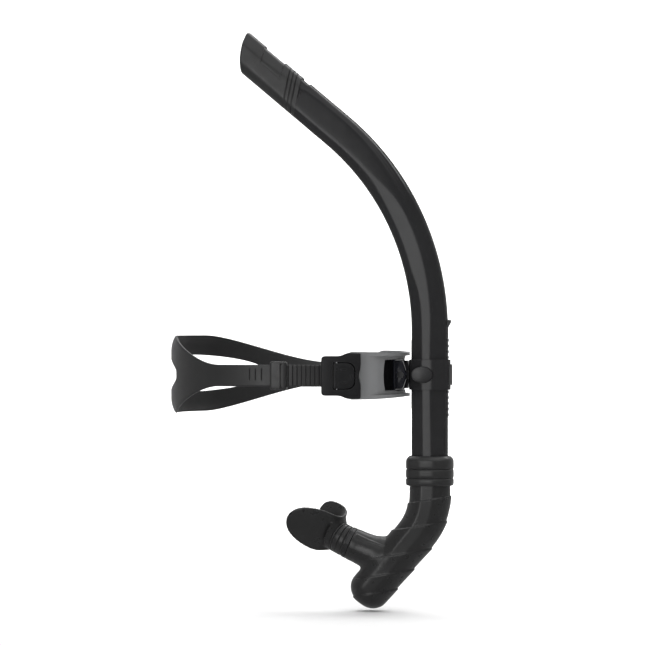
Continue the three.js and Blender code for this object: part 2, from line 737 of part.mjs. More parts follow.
// The main leg goes from the tube's oval to a round purge end.
function mainLeg(depthTop, widthTop, radius, from, to, steps, sides = 20) {
  const shape = oval(1, 1, sides, 0.94);
  const blendEnd = elbowRoute.length - PURGE_STRAIGHT;
  return sweep(shape, to - from, steps, (x, y, s) => {
    const distance = from + s;
    const t = smooth(distance / blendEnd);
    return onSideRoute(elbowRoute, x * mix(widthTop, radius, t), y * mix(depthTop, radius, t), distance);
  });
}

// The neck's own axes at rest before the swivel and the bend: along the axis, across and up.
const NECK_AXIS = new THREE.Vector3(-Math.cos(NECK_CLIMB * RAD), 0, Math.sin(NECK_CLIMB * RAD));
const NECK_UP = new THREE.Vector3(Math.sin(NECK_CLIMB * RAD), 0, Math.cos(NECK_CLIMB * RAD));
const NECK_SIDE = new THREE.Vector3(0, 1, 0);

function onNeck(along, side, up) {
  return NECK_PIVOT.clone()
    .addScaledVector(NECK_AXIS, along)
    .addScaledVector(NECK_SIDE, side)
    .addScaledVector(NECK_UP, up);
}

function neckLength(radius, endRadius, from, to, steps = 1, sides = 20) {
  return sweep(oval(1, 1, sides, 1), to - from, steps, (x, y, s) => {
    const r = mix(radius, endRadius, s / (to - from));
    return onNeck(from + s, -x * r, y * r);
  });
}

// The purge end's rounded cap, which starts a little way inside the leg.
function purgeDome(radius, sides = 20) {
  const profile = [new THREE.Vector2(0, -DOME_ROOT), new THREE.Vector2(radius, -DOME_ROOT)];
  const rings = 4;
  for (let i = 0; i <= rings; i += 1) {
    const angle = (i / rings) * 90 * RAD;
    const r = i === rings ? 0 : radius * Math.cos(angle);
    profile.push(new THREE.Vector2(r, radius * DOME_FLATTEN * Math.sin(angle)));
  }
  return onPurgeEnd(new THREE.LatheGeometry(profile, sides), 0);
}

// Puts a shape that is drawn round the Y axis on the purge end, with +Y along the leg's heading.
function onPurgeEnd(geometry, ahead) {
  const end = elbowRoute.at(elbowRoute.length);
  geometry.rotateX(Math.PI / 2);
  geometry.rotateY(Math.PI / 2 - end.angle);
  geometry.translate(
    end.u + ahead * Math.cos(end.angle),
    0,
    end.v + ahead * Math.sin(end.angle),
  );
  return solidOf(geometry);
}

const purgeCylinder = (radius, from, to, sides = 24) => onPurgeEnd(
  new THREE.CylinderGeometry(radius, radius, to - from, sides),
  (from + to) / 2,
);

function elbowSleeve() {
  const legEnd = elbowRoute.length;
  const outer = mainLeg(SLEEVE_DEPTH, SLEEVE_WIDTH, PURGE_RADIUS, 0, legEnd, 10);
  const arm = neckLength(15, NECK_RADIUS + 0.2, -40, -ARM_END, 3);
  const body = unite(outer, purgeDome(PURGE_RADIUS - 0.02), arm);
  const innerRadius = PURGE_RADIUS - SLEEVE_WALL;
  const socketDepth = SLEEVE_TOP - TUBE_FOOT + GAP;
  const tubeSocket = mainLeg(TUBE_DEPTH + GAP, TUBE_WIDTH + GAP, TUBE_DEPTH, -1, socketDepth, 2);
  const bore = mainLeg(TUBE_DEPTH - 1, TUBE_WIDTH - 1, innerRadius, 10, legEnd, 9);
  const armBore = neckLength(11, NECK_BORE + 1.6, -42, -ARM_END + 2, 2);
  const purge = purgeCylinder(PURGE_HOLE, -4, 30);
  return cut(body, tubeSocket, bore, purgeDome(innerRadius), armBore, purge);
}

function valveSeat() {
  const radius = PURGE_RADIUS - SLEEVE_WALL - GAP;
  const plate = purgeCylinder(radius, SEAT_AT, SEAT_AT + SEAT_THICK);
  const port = (angle) => {
    const geometry = new THREE.CylinderGeometry(PORT_RADIUS, PORT_RADIUS, 4 * SEAT_THICK, 12);
    geometry.translate(PORT_CIRCLE * Math.cos(angle), 0, PORT_CIRCLE * Math.sin(angle));
    return onPurgeEnd(geometry, SEAT_AT);
  };
  const ports = [0, 1, 2, 3].map((i) => port((i * Math.PI) / 2));
  return cut(plate, purgeCylinder(STEM_RADIUS + GAP, SEAT_AT - 5, SEAT_AT + 5), ...ports);
}

function valveDisc() {
  const face = SEAT_AT + SEAT_THICK + GAP;
  const stemEnd = SEAT_AT - 3.2;
  const disc = purgeCylinder(DISC_RADIUS, face, face + 1);
  const stem = purgeCylinder(STEM_RADIUS, stemEnd, face + GAP, 16);
  const stop = purgeCylinder(STEM_RADIUS + 0.8, stemEnd, stemEnd + 1, 16);
  return unite(disc, stem, stop);
}

function collar() {
  const outline = oval(SLEEVE_WIDTH + COLLAR_GROW, SLEEVE_DEPTH + COLLAR_GROW, 20);
  const bottom = COLLAR_TOP - COLLAR_HEIGHT;
  const outer = sweep(outline, COLLAR_HEIGHT, 9, (x, y, s) => {
    const shoulder = Math.max(0, 1 - (COLLAR_HEIGHT - s) / 5);
    const foot = Math.max(0, 1 - s / 2);
    const pinch = 1 - 0.13 * shoulder ** 2.2 - 0.04 * foot;
    return new THREE.Vector3(TUBE_X - y * pinch, x * pinch, bottom + s);
  });
  const sleeveSpace = mainLeg(SLEEVE_DEPTH + GAP, SLEEVE_WIDTH + GAP, PURGE_RADIUS + GAP, -GAP, 26, 4);
  return cut(outer, sleeveSpace, tubeColumn(GAP, -100, -50));
}

// ---- Mouthpiece ---------------------------------------------------------------------------------

function swivelRing() {
  const rim = neckLength(NECK_RADIUS + 0.1, NECK_RADIUS + 0.1, -ARM_END + GAP, -BELLOWS_HALF - GAP);
  const spigot = neckLength(NECK_BORE + 1.3, NECK_BORE + 1.3, -ARM_END - 6, -ARM_END + 1);
  const bore = neckLength(NECK_BORE, NECK_BORE, -ARM_END - 10, 0);
  return cut(unite(rim, spigot), bore);
}

// Turns a point (along, side, up) of the straight neck by the rest bend and swivel.
function turned(along, side, up, bend = NECK_BEND) {
  const bendAngle = bend * RAD;
  const swivel = SWIVEL_ANGLE * RAD;
  const ahead = along * Math.cos(bendAngle) - side * Math.sin(bendAngle);
  const across = along * Math.sin(bendAngle) + side * Math.cos(bendAngle);
  const sideways = across * Math.cos(swivel) - up * Math.sin(swivel);
  const upward = across * Math.sin(swivel) + up * Math.cos(swivel);
  return onNeck(ahead, sideways, upward);
}

// The ribbed neck follows an arc from the swivel ring's face to the mouthpiece's stub.
function neckBellows() {
  const radius = BELLOWS_HALF / Math.tan((NECK_BEND / 2) * RAD);
  const tubeOf = (r, extra) => sweep(oval(1, 1, 20, 1), 1, 4, (x, y, s) => {
    const t = s * (1 + 2 * extra) - extra;
    const angle = t * NECK_BEND * RAD;
    const reach = radius - x * r;
    const along = reach * Math.sin(angle) - BELLOWS_HALF;
    const side = radius - reach * Math.cos(angle);
    return turned(along, side, y * r, 0);
  });
  return cut(tubeOf(NECK_RADIUS - 0.2, 0), tubeOf(NECK_BORE, 0.1));
}

// The flange is an arch round the teeth: two straight wings joined by a front arc. Seen along the
// mouthpiece's up axis, u is sideways and v is toward the mouth.
const archRoute = route(0, 0, -FLANGE_TURN, [
  { length: WING_LENGTH, turn: 0 },
  { length: arcLength(FLANGE_RADIUS, 2 * FLANGE_TURN), turn: 2 * FLANGE_TURN },
  { length: WING_LENGTH, turn: 0 },
]);
const archFront = archRoute.at(archRoute.length / 2);

function onArch(up, inward, distance) {
  const { u, v, angle } = archRoute.at(distance);
  const side = u - archFront.u - inward * Math.sin(angle);
  const along = FLANGE_OFFSET + v - archFront.v + inward * Math.cos(angle);
  return turned(along, side, up + FLANGE_RISE);
}

function flangeHalfHeight(distance) {
  const across = Math.min(1, Math.abs((2 * distance) / archRoute.length - 1));
  const waist = mix(BRIDGE_HALF_HEIGHT, WING_HALF_HEIGHT, smooth(across * 2));
  return Math.max(1.2, waist * Math.sqrt(1 - across ** 3.4));
}

function mouthpiece() {
  const edge = [
    new THREE.Vector2(-1, 0),
    new THREE.Vector2(1, 0),
    new THREE.Vector2(1, FLANGE_THICK),
    new THREE.Vector2(-1, FLANGE_THICK),
  ];
  const flange = sweep(new THREE.Shape(edge), archRoute.length, 22, (x, y, s) => (
    onArch(x * flangeHalfHeight(s), y, s)
  ));
  const pipe = (r, from, to) => sweep(oval(1, 1, 20, 1), to - from, 1, (x, y, s) => (
    turned(from + s, -x * r, y * r)
  ));
  const stub = pipe(NECK_RADIUS - 0.2, BELLOWS_HALF + GAP, FLANGE_OFFSET + 3);
  const bore = pipe(NECK_BORE, 0, FLANGE_OFFSET + 20);
  const tabs = [0, 1].map(biteTab);
  return cut(unite(flange, stub, ...tabs), bore);
}

// One bite tab: a plate that stands off the arch's inner face, with a ridge along its end.
function biteTab(far) {
  const box = (upHalf, inLow, inHigh) => sweep(
    rectangle(-upHalf, upHalf, inLow, inHigh),
    BITE_LENGTH,
    1,
    (x, y, s) => onArch(x, y, far ? archRoute.length - BITE_START - s : BITE_START + s),
  );
  const tab = box(TAB_HALF_HEIGHT, FLANGE_THICK - 1, TAB_REACH);
  return unite(tab, box(RIDGE_HALF_HEIGHT, ...RIDGE_DEPTH));
}

// ---- Assembly -----------------------------------------------------------------------------------

const snorkel = new THREE.Group();

function addPiece(parent, name, solid, look) {
  const mesh = new THREE.Mesh(geometryOf(solid), LOOKS[look]());
  mesh.name = name;
  parent.add(mesh);
}

const harness = new THREE.Group();
const clipGroup = new THREE.Group();
const tubeGroup = new THREE.Group();
const mouthGroup = new THREE.Group();
snorkel.add(harness, clipGroup, tubeGroup, mouthGroup);

addPiece(harness, 'bracket_frame', bracketFrame(), 'grey');
addPiece(harness, 'forehead_pad', foreheadPad(), 'soft');
addPiece(harness, 'clip_base', clipBase(), 'smoke');
addPiece(harness, 'tilt_pin', tiltPin(), 'steel');
addPiece(harness, 'base_screw_upper', baseScrew(SCREW_PLACES[0]), 'steel');
addPiece(harness, 'base_screw_lower', baseScrew(SCREW_PLACES[1]), 'steel');
addPiece(harness, 'strap', strap(), 'soft');
addPiece(harness, 'strap_keeper', strapKeeper(), 'soft');

const bucklePieces = [
  ['buckle_housing', buckleHousing, 'black'],
  ['release_lever', releaseLever, 'black'],
  ['lever_pin', leverPin, 'steel'],
  ['lever_spring', leverSpring, 'steel'],
];
for (const [name, make, look] of bucklePieces) {
  const solid = make();
  addPiece(harness, `${name}_far`, solid, look);
  addPiece(harness, `${name}_near`, solid.mirror([0, 1, 0]), look);
}

addPiece(clipGroup, 'tube_clip', tubeClip(), 'black');
addPiece(clipGroup, 'clip_badge_far', badge(1), 'gloss');
addPiece(clipGroup, 'clip_badge_near', badge(-1), 'gloss');
addPiece(clipGroup, 'height_latch', heightLatch(), 'black');

addPiece(tubeGroup, 'tube', tube(), 'gloss');
addPiece(tubeGroup, 'front_rack', frontRack(), 'black');
addPiece(tubeGroup, 'rear_rail', rearRail(), 'black');
addPiece(tubeGroup, 'tip_cap', tipCap(), 'soft');
addPiece(tubeGroup, 'collar', collar(), 'soft');
addPiece(tubeGroup, 'elbow_sleeve', elbowSleeve(), 'soft');
addPiece(tubeGroup, 'valve_seat', valveSeat(), 'black');
addPiece(tubeGroup, 'valve_disc', valveDisc(), 'soft');

addPiece(mouthGroup, 'swivel_ring', swivelRing(), 'black');
addPiece(mouthGroup, 'neck_bellows', neckBellows(), 'soft');
addPiece(mouthGroup, 'mouthpiece', mouthpiece(), 'soft');

export default snorkel;
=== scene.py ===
"""The looks of a centre-mount swimmer's snorkel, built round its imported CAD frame.

Shapes are worked out in millimetres and turned into metres when their meshes are made. +X is the way
the swimmer faces, +Y is the swimmer's left and +Z is up.
"""

import json
import math

import bmesh
import bpy
import numpy as np
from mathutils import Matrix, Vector


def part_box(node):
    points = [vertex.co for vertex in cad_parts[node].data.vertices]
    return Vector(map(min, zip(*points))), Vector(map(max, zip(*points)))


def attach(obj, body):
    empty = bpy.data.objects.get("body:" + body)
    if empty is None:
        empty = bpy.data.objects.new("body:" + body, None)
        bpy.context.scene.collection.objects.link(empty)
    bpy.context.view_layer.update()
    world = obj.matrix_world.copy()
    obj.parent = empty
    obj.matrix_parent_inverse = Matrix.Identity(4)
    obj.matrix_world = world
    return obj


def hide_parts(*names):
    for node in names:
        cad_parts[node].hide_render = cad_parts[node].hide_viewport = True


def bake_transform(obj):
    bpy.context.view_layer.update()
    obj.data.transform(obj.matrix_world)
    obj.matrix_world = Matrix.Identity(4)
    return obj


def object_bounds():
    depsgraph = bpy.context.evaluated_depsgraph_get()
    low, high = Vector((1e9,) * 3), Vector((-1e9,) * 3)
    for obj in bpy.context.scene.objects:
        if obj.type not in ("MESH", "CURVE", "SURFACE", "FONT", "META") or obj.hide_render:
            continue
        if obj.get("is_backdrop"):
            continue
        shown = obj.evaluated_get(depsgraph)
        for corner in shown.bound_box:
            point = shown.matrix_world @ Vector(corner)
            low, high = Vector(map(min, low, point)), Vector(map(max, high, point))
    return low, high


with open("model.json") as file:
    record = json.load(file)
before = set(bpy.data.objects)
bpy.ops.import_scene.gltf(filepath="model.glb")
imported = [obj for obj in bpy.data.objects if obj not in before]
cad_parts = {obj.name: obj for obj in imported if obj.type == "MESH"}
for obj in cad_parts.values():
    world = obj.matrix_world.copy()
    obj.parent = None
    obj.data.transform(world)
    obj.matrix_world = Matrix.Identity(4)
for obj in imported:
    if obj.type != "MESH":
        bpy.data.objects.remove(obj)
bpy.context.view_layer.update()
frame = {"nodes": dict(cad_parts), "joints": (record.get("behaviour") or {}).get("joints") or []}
MM = 0.001


def box_mm(node):
    """The lowest and highest corners of a CAD node, in millimetres."""
    low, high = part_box(node)
    return np.array(low) / MM, np.array(high) / MM


def joint(name):
    """A joint of the record by its name."""
    return next(j for j in frame["joints"] if j["name"] == name)


# ---- Driving dimensions, in millimetres ----

COLLAR_LOW, COLLAR_HIGH = box_mm("collar")
TUBE_LOW, TUBE_HIGH = box_mm("tube")
STRAP_LOW, STRAP_HIGH = box_mm("strap")
CLIP_HIGH = box_mm("tube_clip")[1]
TILT_X = joint("clip_tilt")["pos_m"][0] / MM

# How far most visible skins stay inside the CAD's, and the elbow's skin, which its scales raise again.
SKIN_GAP = 0.05
ELBOW_SKIN_GAP = 0.3
# The play that soft parts leave round the tube or the strap.
SOFT_PLAY = 0.3

TUBE_X = (COLLAR_LOW[0] + COLLAR_HIGH[0]) / 2
TUBE_DEPTH = TUBE_HIGH[0] - TUBE_X
TUBE_WIDTH = TUBE_HIGH[1]
TUBE_WALL = 1.8
TUBE_BORE_PLAY = 0.4
TUBE_FOOT = TUBE_LOW[2]
ARC_START = 33.5
ARC_RADIUS = 202.0
ARC_TURN = 50.0
TIP_STRAIGHT = 96.0
SEAT_LENGTH = 12
SEAT_PULL = 1.2

# Where the tube's sides fold: a depth for each distance along the tube.
FRONT_CREASE = (
    (0, -4.2), (130, -3.4), (165, -5.4), (190, -9.0), (212, -12.4), (285, -12.6), (314, -10.9),
    (339, -8.2), (372, -5.4), (396, -4.8),
)
STRIP_FRONT = (
    (0, -4.2), (130, -3.4), (160, -4.0), (195, -4.7), (222, -3.6), (245, 1.6), (262, 7.6),
    (276, 12.6), (396, 12.8),
)
STRIP_REAR = (
    (0, 4.2), (130, 5.2), (150, 5.4), (162, 6.6), (175, 9.4), (190, 12.4), (262, 13.0), (396, 13.2),
)
FRONT_SLOPE = math.tan(math.radians(24))
MIDDLE_SLOPE = math.tan(math.radians(4))
STRIP_SLOPE = math.tan(math.radians(5))
REAR_SLOPE = math.tan(math.radians(22))
CREASE_SOFT = 0.6
OVAL_POWER = 2.6

CAP_LENGTH = 57.0
CAP_SLANT = math.radians(29)
CAP_WALL = 2.4
CAP_BULGE = 2.0
CAP_BULGE_LENGTH = 12
CAP_LIP = 0.9
CAP_LIP_LENGTH = 1.5
CAP_EDGE = 0.5
CAP_EDGE_LENGTH = 0.6
CAP_GROOVES = (45.2, 48.8, 52.4)
CAP_GROOVE_HALF = 0.7
CAP_GROOVE_DEEP = 0.6
CAP_RECESS = (18.2, 38.6)
CAP_RECESS_EDGE = -3.2
CAP_RECESS_DEEP = 1.1

COLLAR_SHOULDER = 2.6
COLLAR_FOOT = 0.8
COLLAR_GROOVES = (0.44, 0.75)
COLLAR_GROOVE_DEEP = 0.7
COLLAR_WALL = 1.6

FRAME_FRONT = 8.5
FRAME_THICK = 3.0
FRAME_HALF_HEIGHT = box_mm("bracket_frame")[1][2]
FRONT_RADIUS = 150.0
FRONT_HALF_ANGLE = 20.0
CORNER_RADIUS = 20.0
ARM_HEADING = 10.0
ARM_LENGTH = 5.0
LIP_START = 14.0
LIP_RUN = 22.0
LIP_RISE = 3.4
WINDOW_HALF = 41.2
WINDOW_HALF_HEIGHT = 11.6
WINDOW_END = ((0, 1), (1.6, 0.55), (2.4, 0), (1.6, -0.55), (0, -1))
WINDOW_FLARE = 1.26
PAD_START = 24.5
PAD_SQUARE = 0.35
PAD_CROWN = 0.5

BUCKLE_REAR = 18.5
BUCKLE_LENGTH = 29.5
BUCKLE_DEPTH = 8.0
BUCKLE_WALL = 1.6
BUCKLE_HALF = 14.9
BUCKLE_ROOT = 17.3
CAVITY_HALF = 10.4
SHOULDER_END = 4.7
SHOULDER_START = -1.3
LEVER_REAR = 9.4
LEVER_LENGTH = 16.2
LEVER_HALF = 9.8
LEVER_SUNK = 0.15
# Each mark on the lever: distance from its rear, height, half length, half height and depth.
LEVER_MARKS = (
    (13.5, 0, 0.9, 0.9, 0.5),
    (2.8, 5.4, 0.8, 1.5, 0.6),
    (8, 4.6, 2.3, 0.6, 0.8),
    (2.8, -5.4, 0.8, 1.5, 0.6),
    (8, -4.6, 2.3, 0.6, 0.8),
)

STRAP_THICK = 1.8
STRAP_INSERT = 15.0
STRAP_GENTLE_TURN = 25.0
STRAP_TAIL_HALF = 8.25
STRAP_BACK_HALF = STRAP_HIGH[2]
STRAP_NEAR_TAPER = (25.0, 96.0)
STRAP_FAR_TAPER = (38.0, 150.0)
STRAP_CENTRE_SHIFT = 2.5
STRAP_SLOT_SHIFT = 28.0
STRAP_SLOT_HALF = 70.0
STRAP_SLOT_HEIGHT = 14.5
STRAP_CAMBER = 3.2
STRAP_CAMBER_START = 18.0
STRAP_EDGE = 0.9
STRAP_EDGE_ROUND = 0.45
TAIL_GROOVES = [15.3 + 3.35 * k for k in range(8)]
SHORT_GROOVES = (59.4, 64.2, 68.9)
SHORT_GROOVE_REACH = (-3.0, 5.0)
GROOVE_HALF = 0.5
GROOVE_DEPTH = 0.5
KEEPER_START = 40.0
KEEPER_LENGTH = 12.5
KEEPER_WALL = 2.1
KEEPER_EDGE = 1.4
KEEPER_SQUARE = 0.22
KEEPER_SLIT = (2.8, 4.8)
KEEPER_SLIT_DEEP = 1.7

SLEEVE_TOP = -64.5
SLEEVE_DEPTH = 16.2
SLEEVE_WIDTH = 12.7
SLEEVE_WALL = 2.6
PURGE_RADIUS = 16.1
PURGE_OUTLET = 5.4
PURGE_STRAIGHT = 56.0
ELBOW_BEND_START = -93.0
ELBOW_BEND_RADIUS = 47.0
ELBOW_BEND_TURN = 40.3
LEG_DOME = 0.8
LEG_FLAT = 0.955
LEG_FOLD = 0.32
SCALES = (100.8, 119.5, 138.4, 152.0, 165.0, 182.0)
SCALE_LEAN = 0.18
SCALE_RISE = 1.0
SCALE_EDGE = 0.7
SCALES_END = -20
SPEAR_TIP = -36.0
SPEAR_ROOT = -9.0
SPEAR_HALF = 1.5
SPEAR_RISE = 0.6
SPEAR_TURN = math.radians(42)
# The arm: its radius at places along it, its bore's, and the stretch whose crease is softened.
ARM_SKIN = ((-40, 14.6), (-30, 14.2), (-16, 13.0))
ARM_BORE_ROOT = (-38, 10.6)
SOFTEN_START = -42
SOFTEN_END = -11
SOFTEN_ROUNDS = 45
# The web over the arm: the height of its top at places along the arm.
FILLET_TOPS = (
    (-18, 12.6), (-24, 13.6), (-28, 14.8), (-31, 16.3), (-34, 18.8), (-37, 22.5), (-40, 27.0),
)
FILLET_SIDE = 12.3
FILLET_FOOT = 10.0

NECK_RADIUS = 12.4
NECK_BORE = 8.6
NECK_BEND = math.radians(16)
NECK_GROOVES = (0.14, 0.5, 0.86)
NECK_GROOVE_DEEP = 0.6
SWIVEL = math.radians(12)
ARM_END = 7.5
BELLOWS_HALF = 4.2
STUB_FLARE = 2.6
STUB_LENGTH = 4.2
FLANGE_OFFSET = 6.5
FLANGE_THICK = 2.2
FLANGE_RADIUS = 17.0
FLANGE_TURN = 66.0
FLANGE_RISE = 2.0
WING_LENGTH = 25.0
WING_HALF_HEIGHT = 17.0
BRIDGE_HALF_HEIGHT = 14.5
# Blocks on the inside of each wing: half height, and where each starts and ends inward.
BITE_TAB = (1.4, FLANGE_THICK - 1, 8)
BITE_RIDGE = (4.0, 7.2, 9.4)
BITE_START = 12.0
BITE_LENGTH = 14.0

CLIP_REAR = 14.0
CLIP_WALL = 1.9
CLIP_PLAY = 0.5
CLIP_BEVEL = 0.2
LUG_RADIUS = 3.35
LUG_HALF = 7.15
PIN_BORE = 1.9
BADGE_PLAY = 0.35
# The ways cut for the rail, the rack and the latch: two corners each.
CLIP_WAYS = (
    ((15.7, -3.3, -30), (TUBE_X, 3.3, 30)),
    ((TUBE_X, -3.3, -30), (44.75, 3.3, 30)),
    ((44.0, -4.75, -8.35), (60, 4.75, 8.35)),
)
BASE_FRONT = 6.15
BASE_HALF_WIDTH = 16.5
BASE_HALF_HEIGHT = 14.7
EAR_OUTLINE = ((5, -10.7), (10.9, -10.7), (13.3, -3), (13.3, 3), (10.9, 10.7), (5, 10.7))
EAR_REACH = (7.6, 15.4)

# ---- Looks of the CAD nodes that stay ----

KEPT_NODES = {
    "steel": (
        "base_screw_upper", "base_screw_lower", "lever_pin_far", "lever_pin_near", "lever_spring_far",
        "lever_spring_near",
    ),
    "black_plastic": (
        "tilt_pin", "height_latch", "front_rack", "rear_rail", "valve_seat", "swivel_ring",
    ),
    "elbow_silicone": ("valve_disc",),
}

# ---- Studio, in metres and watts ----

FLOOR_REACH = 4.0
FLOOR_BACK = 3.2
FLOOR_GAP = 0.002
BACKDROP_TURN = 0.5
BACKDROP_HEIGHT = 3
CAMERA_AZIMUTH = math.radians(12)
CAMERA_DISTANCE = 2.4
CAMERA_AIM = (-0.0506, -0.0171, 0.0400)
CAMERA_LENS = 174.5
OBJECT_MIDDLE = (-0.05, 0, 0.04)
WORLD_STRENGTH = 0.32
# Each lamp: name, place, aim, power, width and height.
LAMPS = (
    ("left_bank", (-0.576, -1.72, 0.15), OBJECT_MIDDLE, 8, 0.5, 1.3),
    ("upper_bank", (0.45, -1.35, 1.15), OBJECT_MIDDLE, 2.0, 0.7, 0.5),
    ("overhead", (0.0, -0.3, 1.5), OBJECT_MIDDLE, 16, 2.4, 1.8),
    ("floor_wash", (0, 1.1, 1.6), (0, 1.6, -0.2), 40, 3.6, 0.8),
    ("back_wash", (0, 2.3, 2.0), (0, 3.6, 0.1), 90, 4.0, 0.6),
)


# ---- Meshes ----

def linked(name, data):
    """A new object linked to the scene."""
    thing = bpy.data.objects.new(name, data)
    bpy.context.scene.collection.objects.link(thing)
    return thing


def mesh_object(name, points, faces, crease=42):
    """A smooth-shaded object from points in millimetres, with edges sharper than crease degrees kept."""
    mesh = bpy.data.meshes.new(name)
    mesh.from_pydata([tuple(p) for p in np.asarray(points, float) * MM], [], faces)
    mesh.update()
    finish_mesh(mesh, crease)
    return linked(name, mesh)


def finish_mesh(mesh, crease):
    """Merges doubled points, turns faces outward and sets the shading."""
    work = bmesh.new()
    work.from_mesh(mesh)
    bmesh.ops.remove_doubles(work, verts=work.verts, dist=1e-6)
    bmesh.ops.recalc_face_normals(work, faces=work.faces)
    work.to_mesh(mesh)
    work.free()
    mesh.shade_smooth()
    mesh.set_sharp_from_angle(angle=math.radians(crease))


def loft(name, rings, loop=False, crease=42):
    """Joins rings of equal length into a skin: capped at both ends, or running back to its start."""
    rings = np.asarray(rings, float)
    count, sides = rings.shape[:2]
    faces = []
    for i in range(count if loop else count - 1):
        low = i * sides
        high = ((i + 1) % count) * sides
        for j in range(sides):
            k = (j + 1) % sides
            faces.append((low + j, low + k, high + k, high + j))
    if not loop:
        faces.append(tuple(range(sides))[::-1])
        faces.append(tuple((count - 1) * sides + j for j in range(sides)))
    return mesh_object(name, rings.reshape(-1, 3), faces, crease)


def apply_modifiers(piece):
    """Bakes a piece's modifiers into its mesh."""
    evaluated = piece.evaluated_get(bpy.context.evaluated_depsgraph_get())
    mesh = bpy.data.meshes.new_from_object(evaluated)
    piece.modifiers.clear()
    old = piece.data
    piece.data = mesh
    bpy.data.meshes.remove(old)


def combine(piece, others, operation):
    """Unites a piece with other pieces, or cuts them from it, and removes them."""
    for other in others:
        modifier = piece.modifiers.new(operation.lower(), "BOOLEAN")
        modifier.operation = operation
        modifier.solver = "EXACT"
        modifier.object = other
        apply_modifiers(piece)
        bpy.data.objects.remove(other)
    return piece


def rounded(piece, width, segments=2, limit=35):
    """Rounds the edges of a piece and sets its shading again."""
    modifier = piece.modifiers.new("round", "BEVEL")
    modifier.width = width * MM
    modifier.segments = segments
    modifier.limit_method = "ANGLE"
    modifier.angle_limit = math.radians(limit)
    modifier.harden_normals = False
    apply_modifiers(piece)
    finish_mesh(piece.data, 42)
    return piece


def remeshed(piece, voxel, smoothing):
    """Melts a piece into one even skin and smooths it."""
    melt = piece.modifiers.new("melt", "REMESH")
    melt.mode = "VOXEL"
    melt.voxel_size = voxel * MM
    calm = piece.modifiers.new("calm", "SMOOTH")
    calm.iterations = smoothing
    calm.factor = 0.5
    apply_modifiers(piece)
    piece.data.shade_smooth()
    return piece


def mirrored(piece, name):
    """A copy of a piece on the other side of the middle plane."""
    mesh = piece.data.copy()
    for vertex in mesh.vertices:
        vertex.co.y = -vertex.co.y
    mesh.flip_normals()
    return linked(name, mesh)


def smooth(t):
    """A soft step from 0 to 1."""
    clamped = np.clip(t, 0, 1)
    return clamped * clamped * (3 - 2 * clamped)


def mix(a, b, t):
    """The value a share t of the way from a to b."""
    return a + (b - a) * t


def squared(value, power):
    """A sine or cosine pushed toward 1 or -1, which squares off a ring."""
    return math.copysign(abs(value) ** power, value)


def turns(sides, start=0.0):
    """Even turns round a ring, in radians; start shifts them by a share of one step."""
    return 2 * math.pi * (np.arange(sides) + start) / sides


# ---- Routes ----

class Route:
    """A flat path of legs (length, turn in degrees, left positive)."""

    def __init__(self, u, v, heading, legs):
        self.start = (u, v)
        self.heading = math.radians(heading)
        self.legs = legs
        self.length = sum(leg[0] for leg in legs)

    def at(self, distance):
        """The point and the heading at a distance; the last leg runs on past its end."""
        u, v = self.start
        angle = self.heading
        left = distance
        for index, (length, turn) in enumerate(self.legs):
            last = index == len(self.legs) - 1
            run = left if last else min(left, length)
            bend = math.radians(turn) / length
            ahead = angle + bend * run
            if abs(bend) < 1e-9:
                u += run * math.cos(angle)
                v += run * math.sin(angle)
            else:
                u += (math.sin(ahead) - math.sin(angle)) / bend
                v -= (math.cos(ahead) - math.cos(angle)) / bend
            angle = ahead
            left -= run
            if left <= 0:
                break
        return u, v, angle


def arc_length(radius, turn):
    """The length of an arc that turns by some degrees."""
    return radius * math.radians(abs(turn))


def side_point(way, x, y, distance):
    """A point beside a route in the XZ plane: x is across, y is to the left of travel."""
    u, v, angle = way.at(distance)
    return (u - y * math.sin(angle), x, v + y * math.cos(angle))


def top_point(way, up, out, distance):
    """A point beside a route seen from above: out is to the right of travel."""
    u, v, angle = way.at(distance)
    return (u + out * math.sin(angle), v - out * math.cos(angle), up)


TUBE_ROUTE = Route(TUBE_X, TUBE_FOOT, 90, [
    (ARC_START - TUBE_FOOT, 0),
    (arc_length(ARC_RADIUS, ARC_TURN), ARC_TURN),
    (TIP_STRAIGHT, 0),
])
TUBE_LENGTH = TUBE_ROUTE.length
CAP_START = TUBE_LENGTH - CAP_LENGTH

ELBOW_ROUTE = Route(TUBE_X, SLEEVE_TOP, -90, [
    (SLEEVE_TOP - ELBOW_BEND_START, 0),
    (arc_length(ELBOW_BEND_RADIUS, ELBOW_BEND_TURN), -ELBOW_BEND_TURN),
    (PURGE_STRAIGHT, 0),
])

CORNER_TURN = 90 - FRONT_HALF_ANGLE - ARM_HEADING
FRAME_LEGS = [
    (ARM_LENGTH, 0),
    (arc_length(CORNER_RADIUS, CORNER_TURN), CORNER_TURN),
    (arc_length(FRONT_RADIUS, 2 * FRONT_HALF_ANGLE), 2 * FRONT_HALF_ANGLE),
    (arc_length(CORNER_RADIUS, CORNER_TURN), CORNER_TURN),
    (ARM_LENGTH, 0),
]
FRAME_SPAN = sum(leg[0] for leg in FRAME_LEGS)
_middle = Route(0, 0, ARM_HEADING, FRAME_LEGS).at(FRAME_SPAN / 2)
FRAME_ROUTE = Route(FRAME_FRONT - FRAME_THICK / 2 - _middle[0], -_middle[1], ARM_HEADING, FRAME_LEGS)
ARM_SURFACE = FRAME_THICK / 2 + 0.3


def on_arm(along, up, out):
    """A point on the far arm: along runs to the rear from the arm's end, out is off its surface."""
    u, v, angle = FRAME_ROUTE.at(FRAME_ROUTE.length)
    ahead = np.array([math.cos(angle), math.sin(angle)])
    outward = np.array([ahead[1], -ahead[0]])
    x, y = np.array([u, v]) + ahead * along + outward * (out + ARM_SURFACE)
    return (x, y, up)


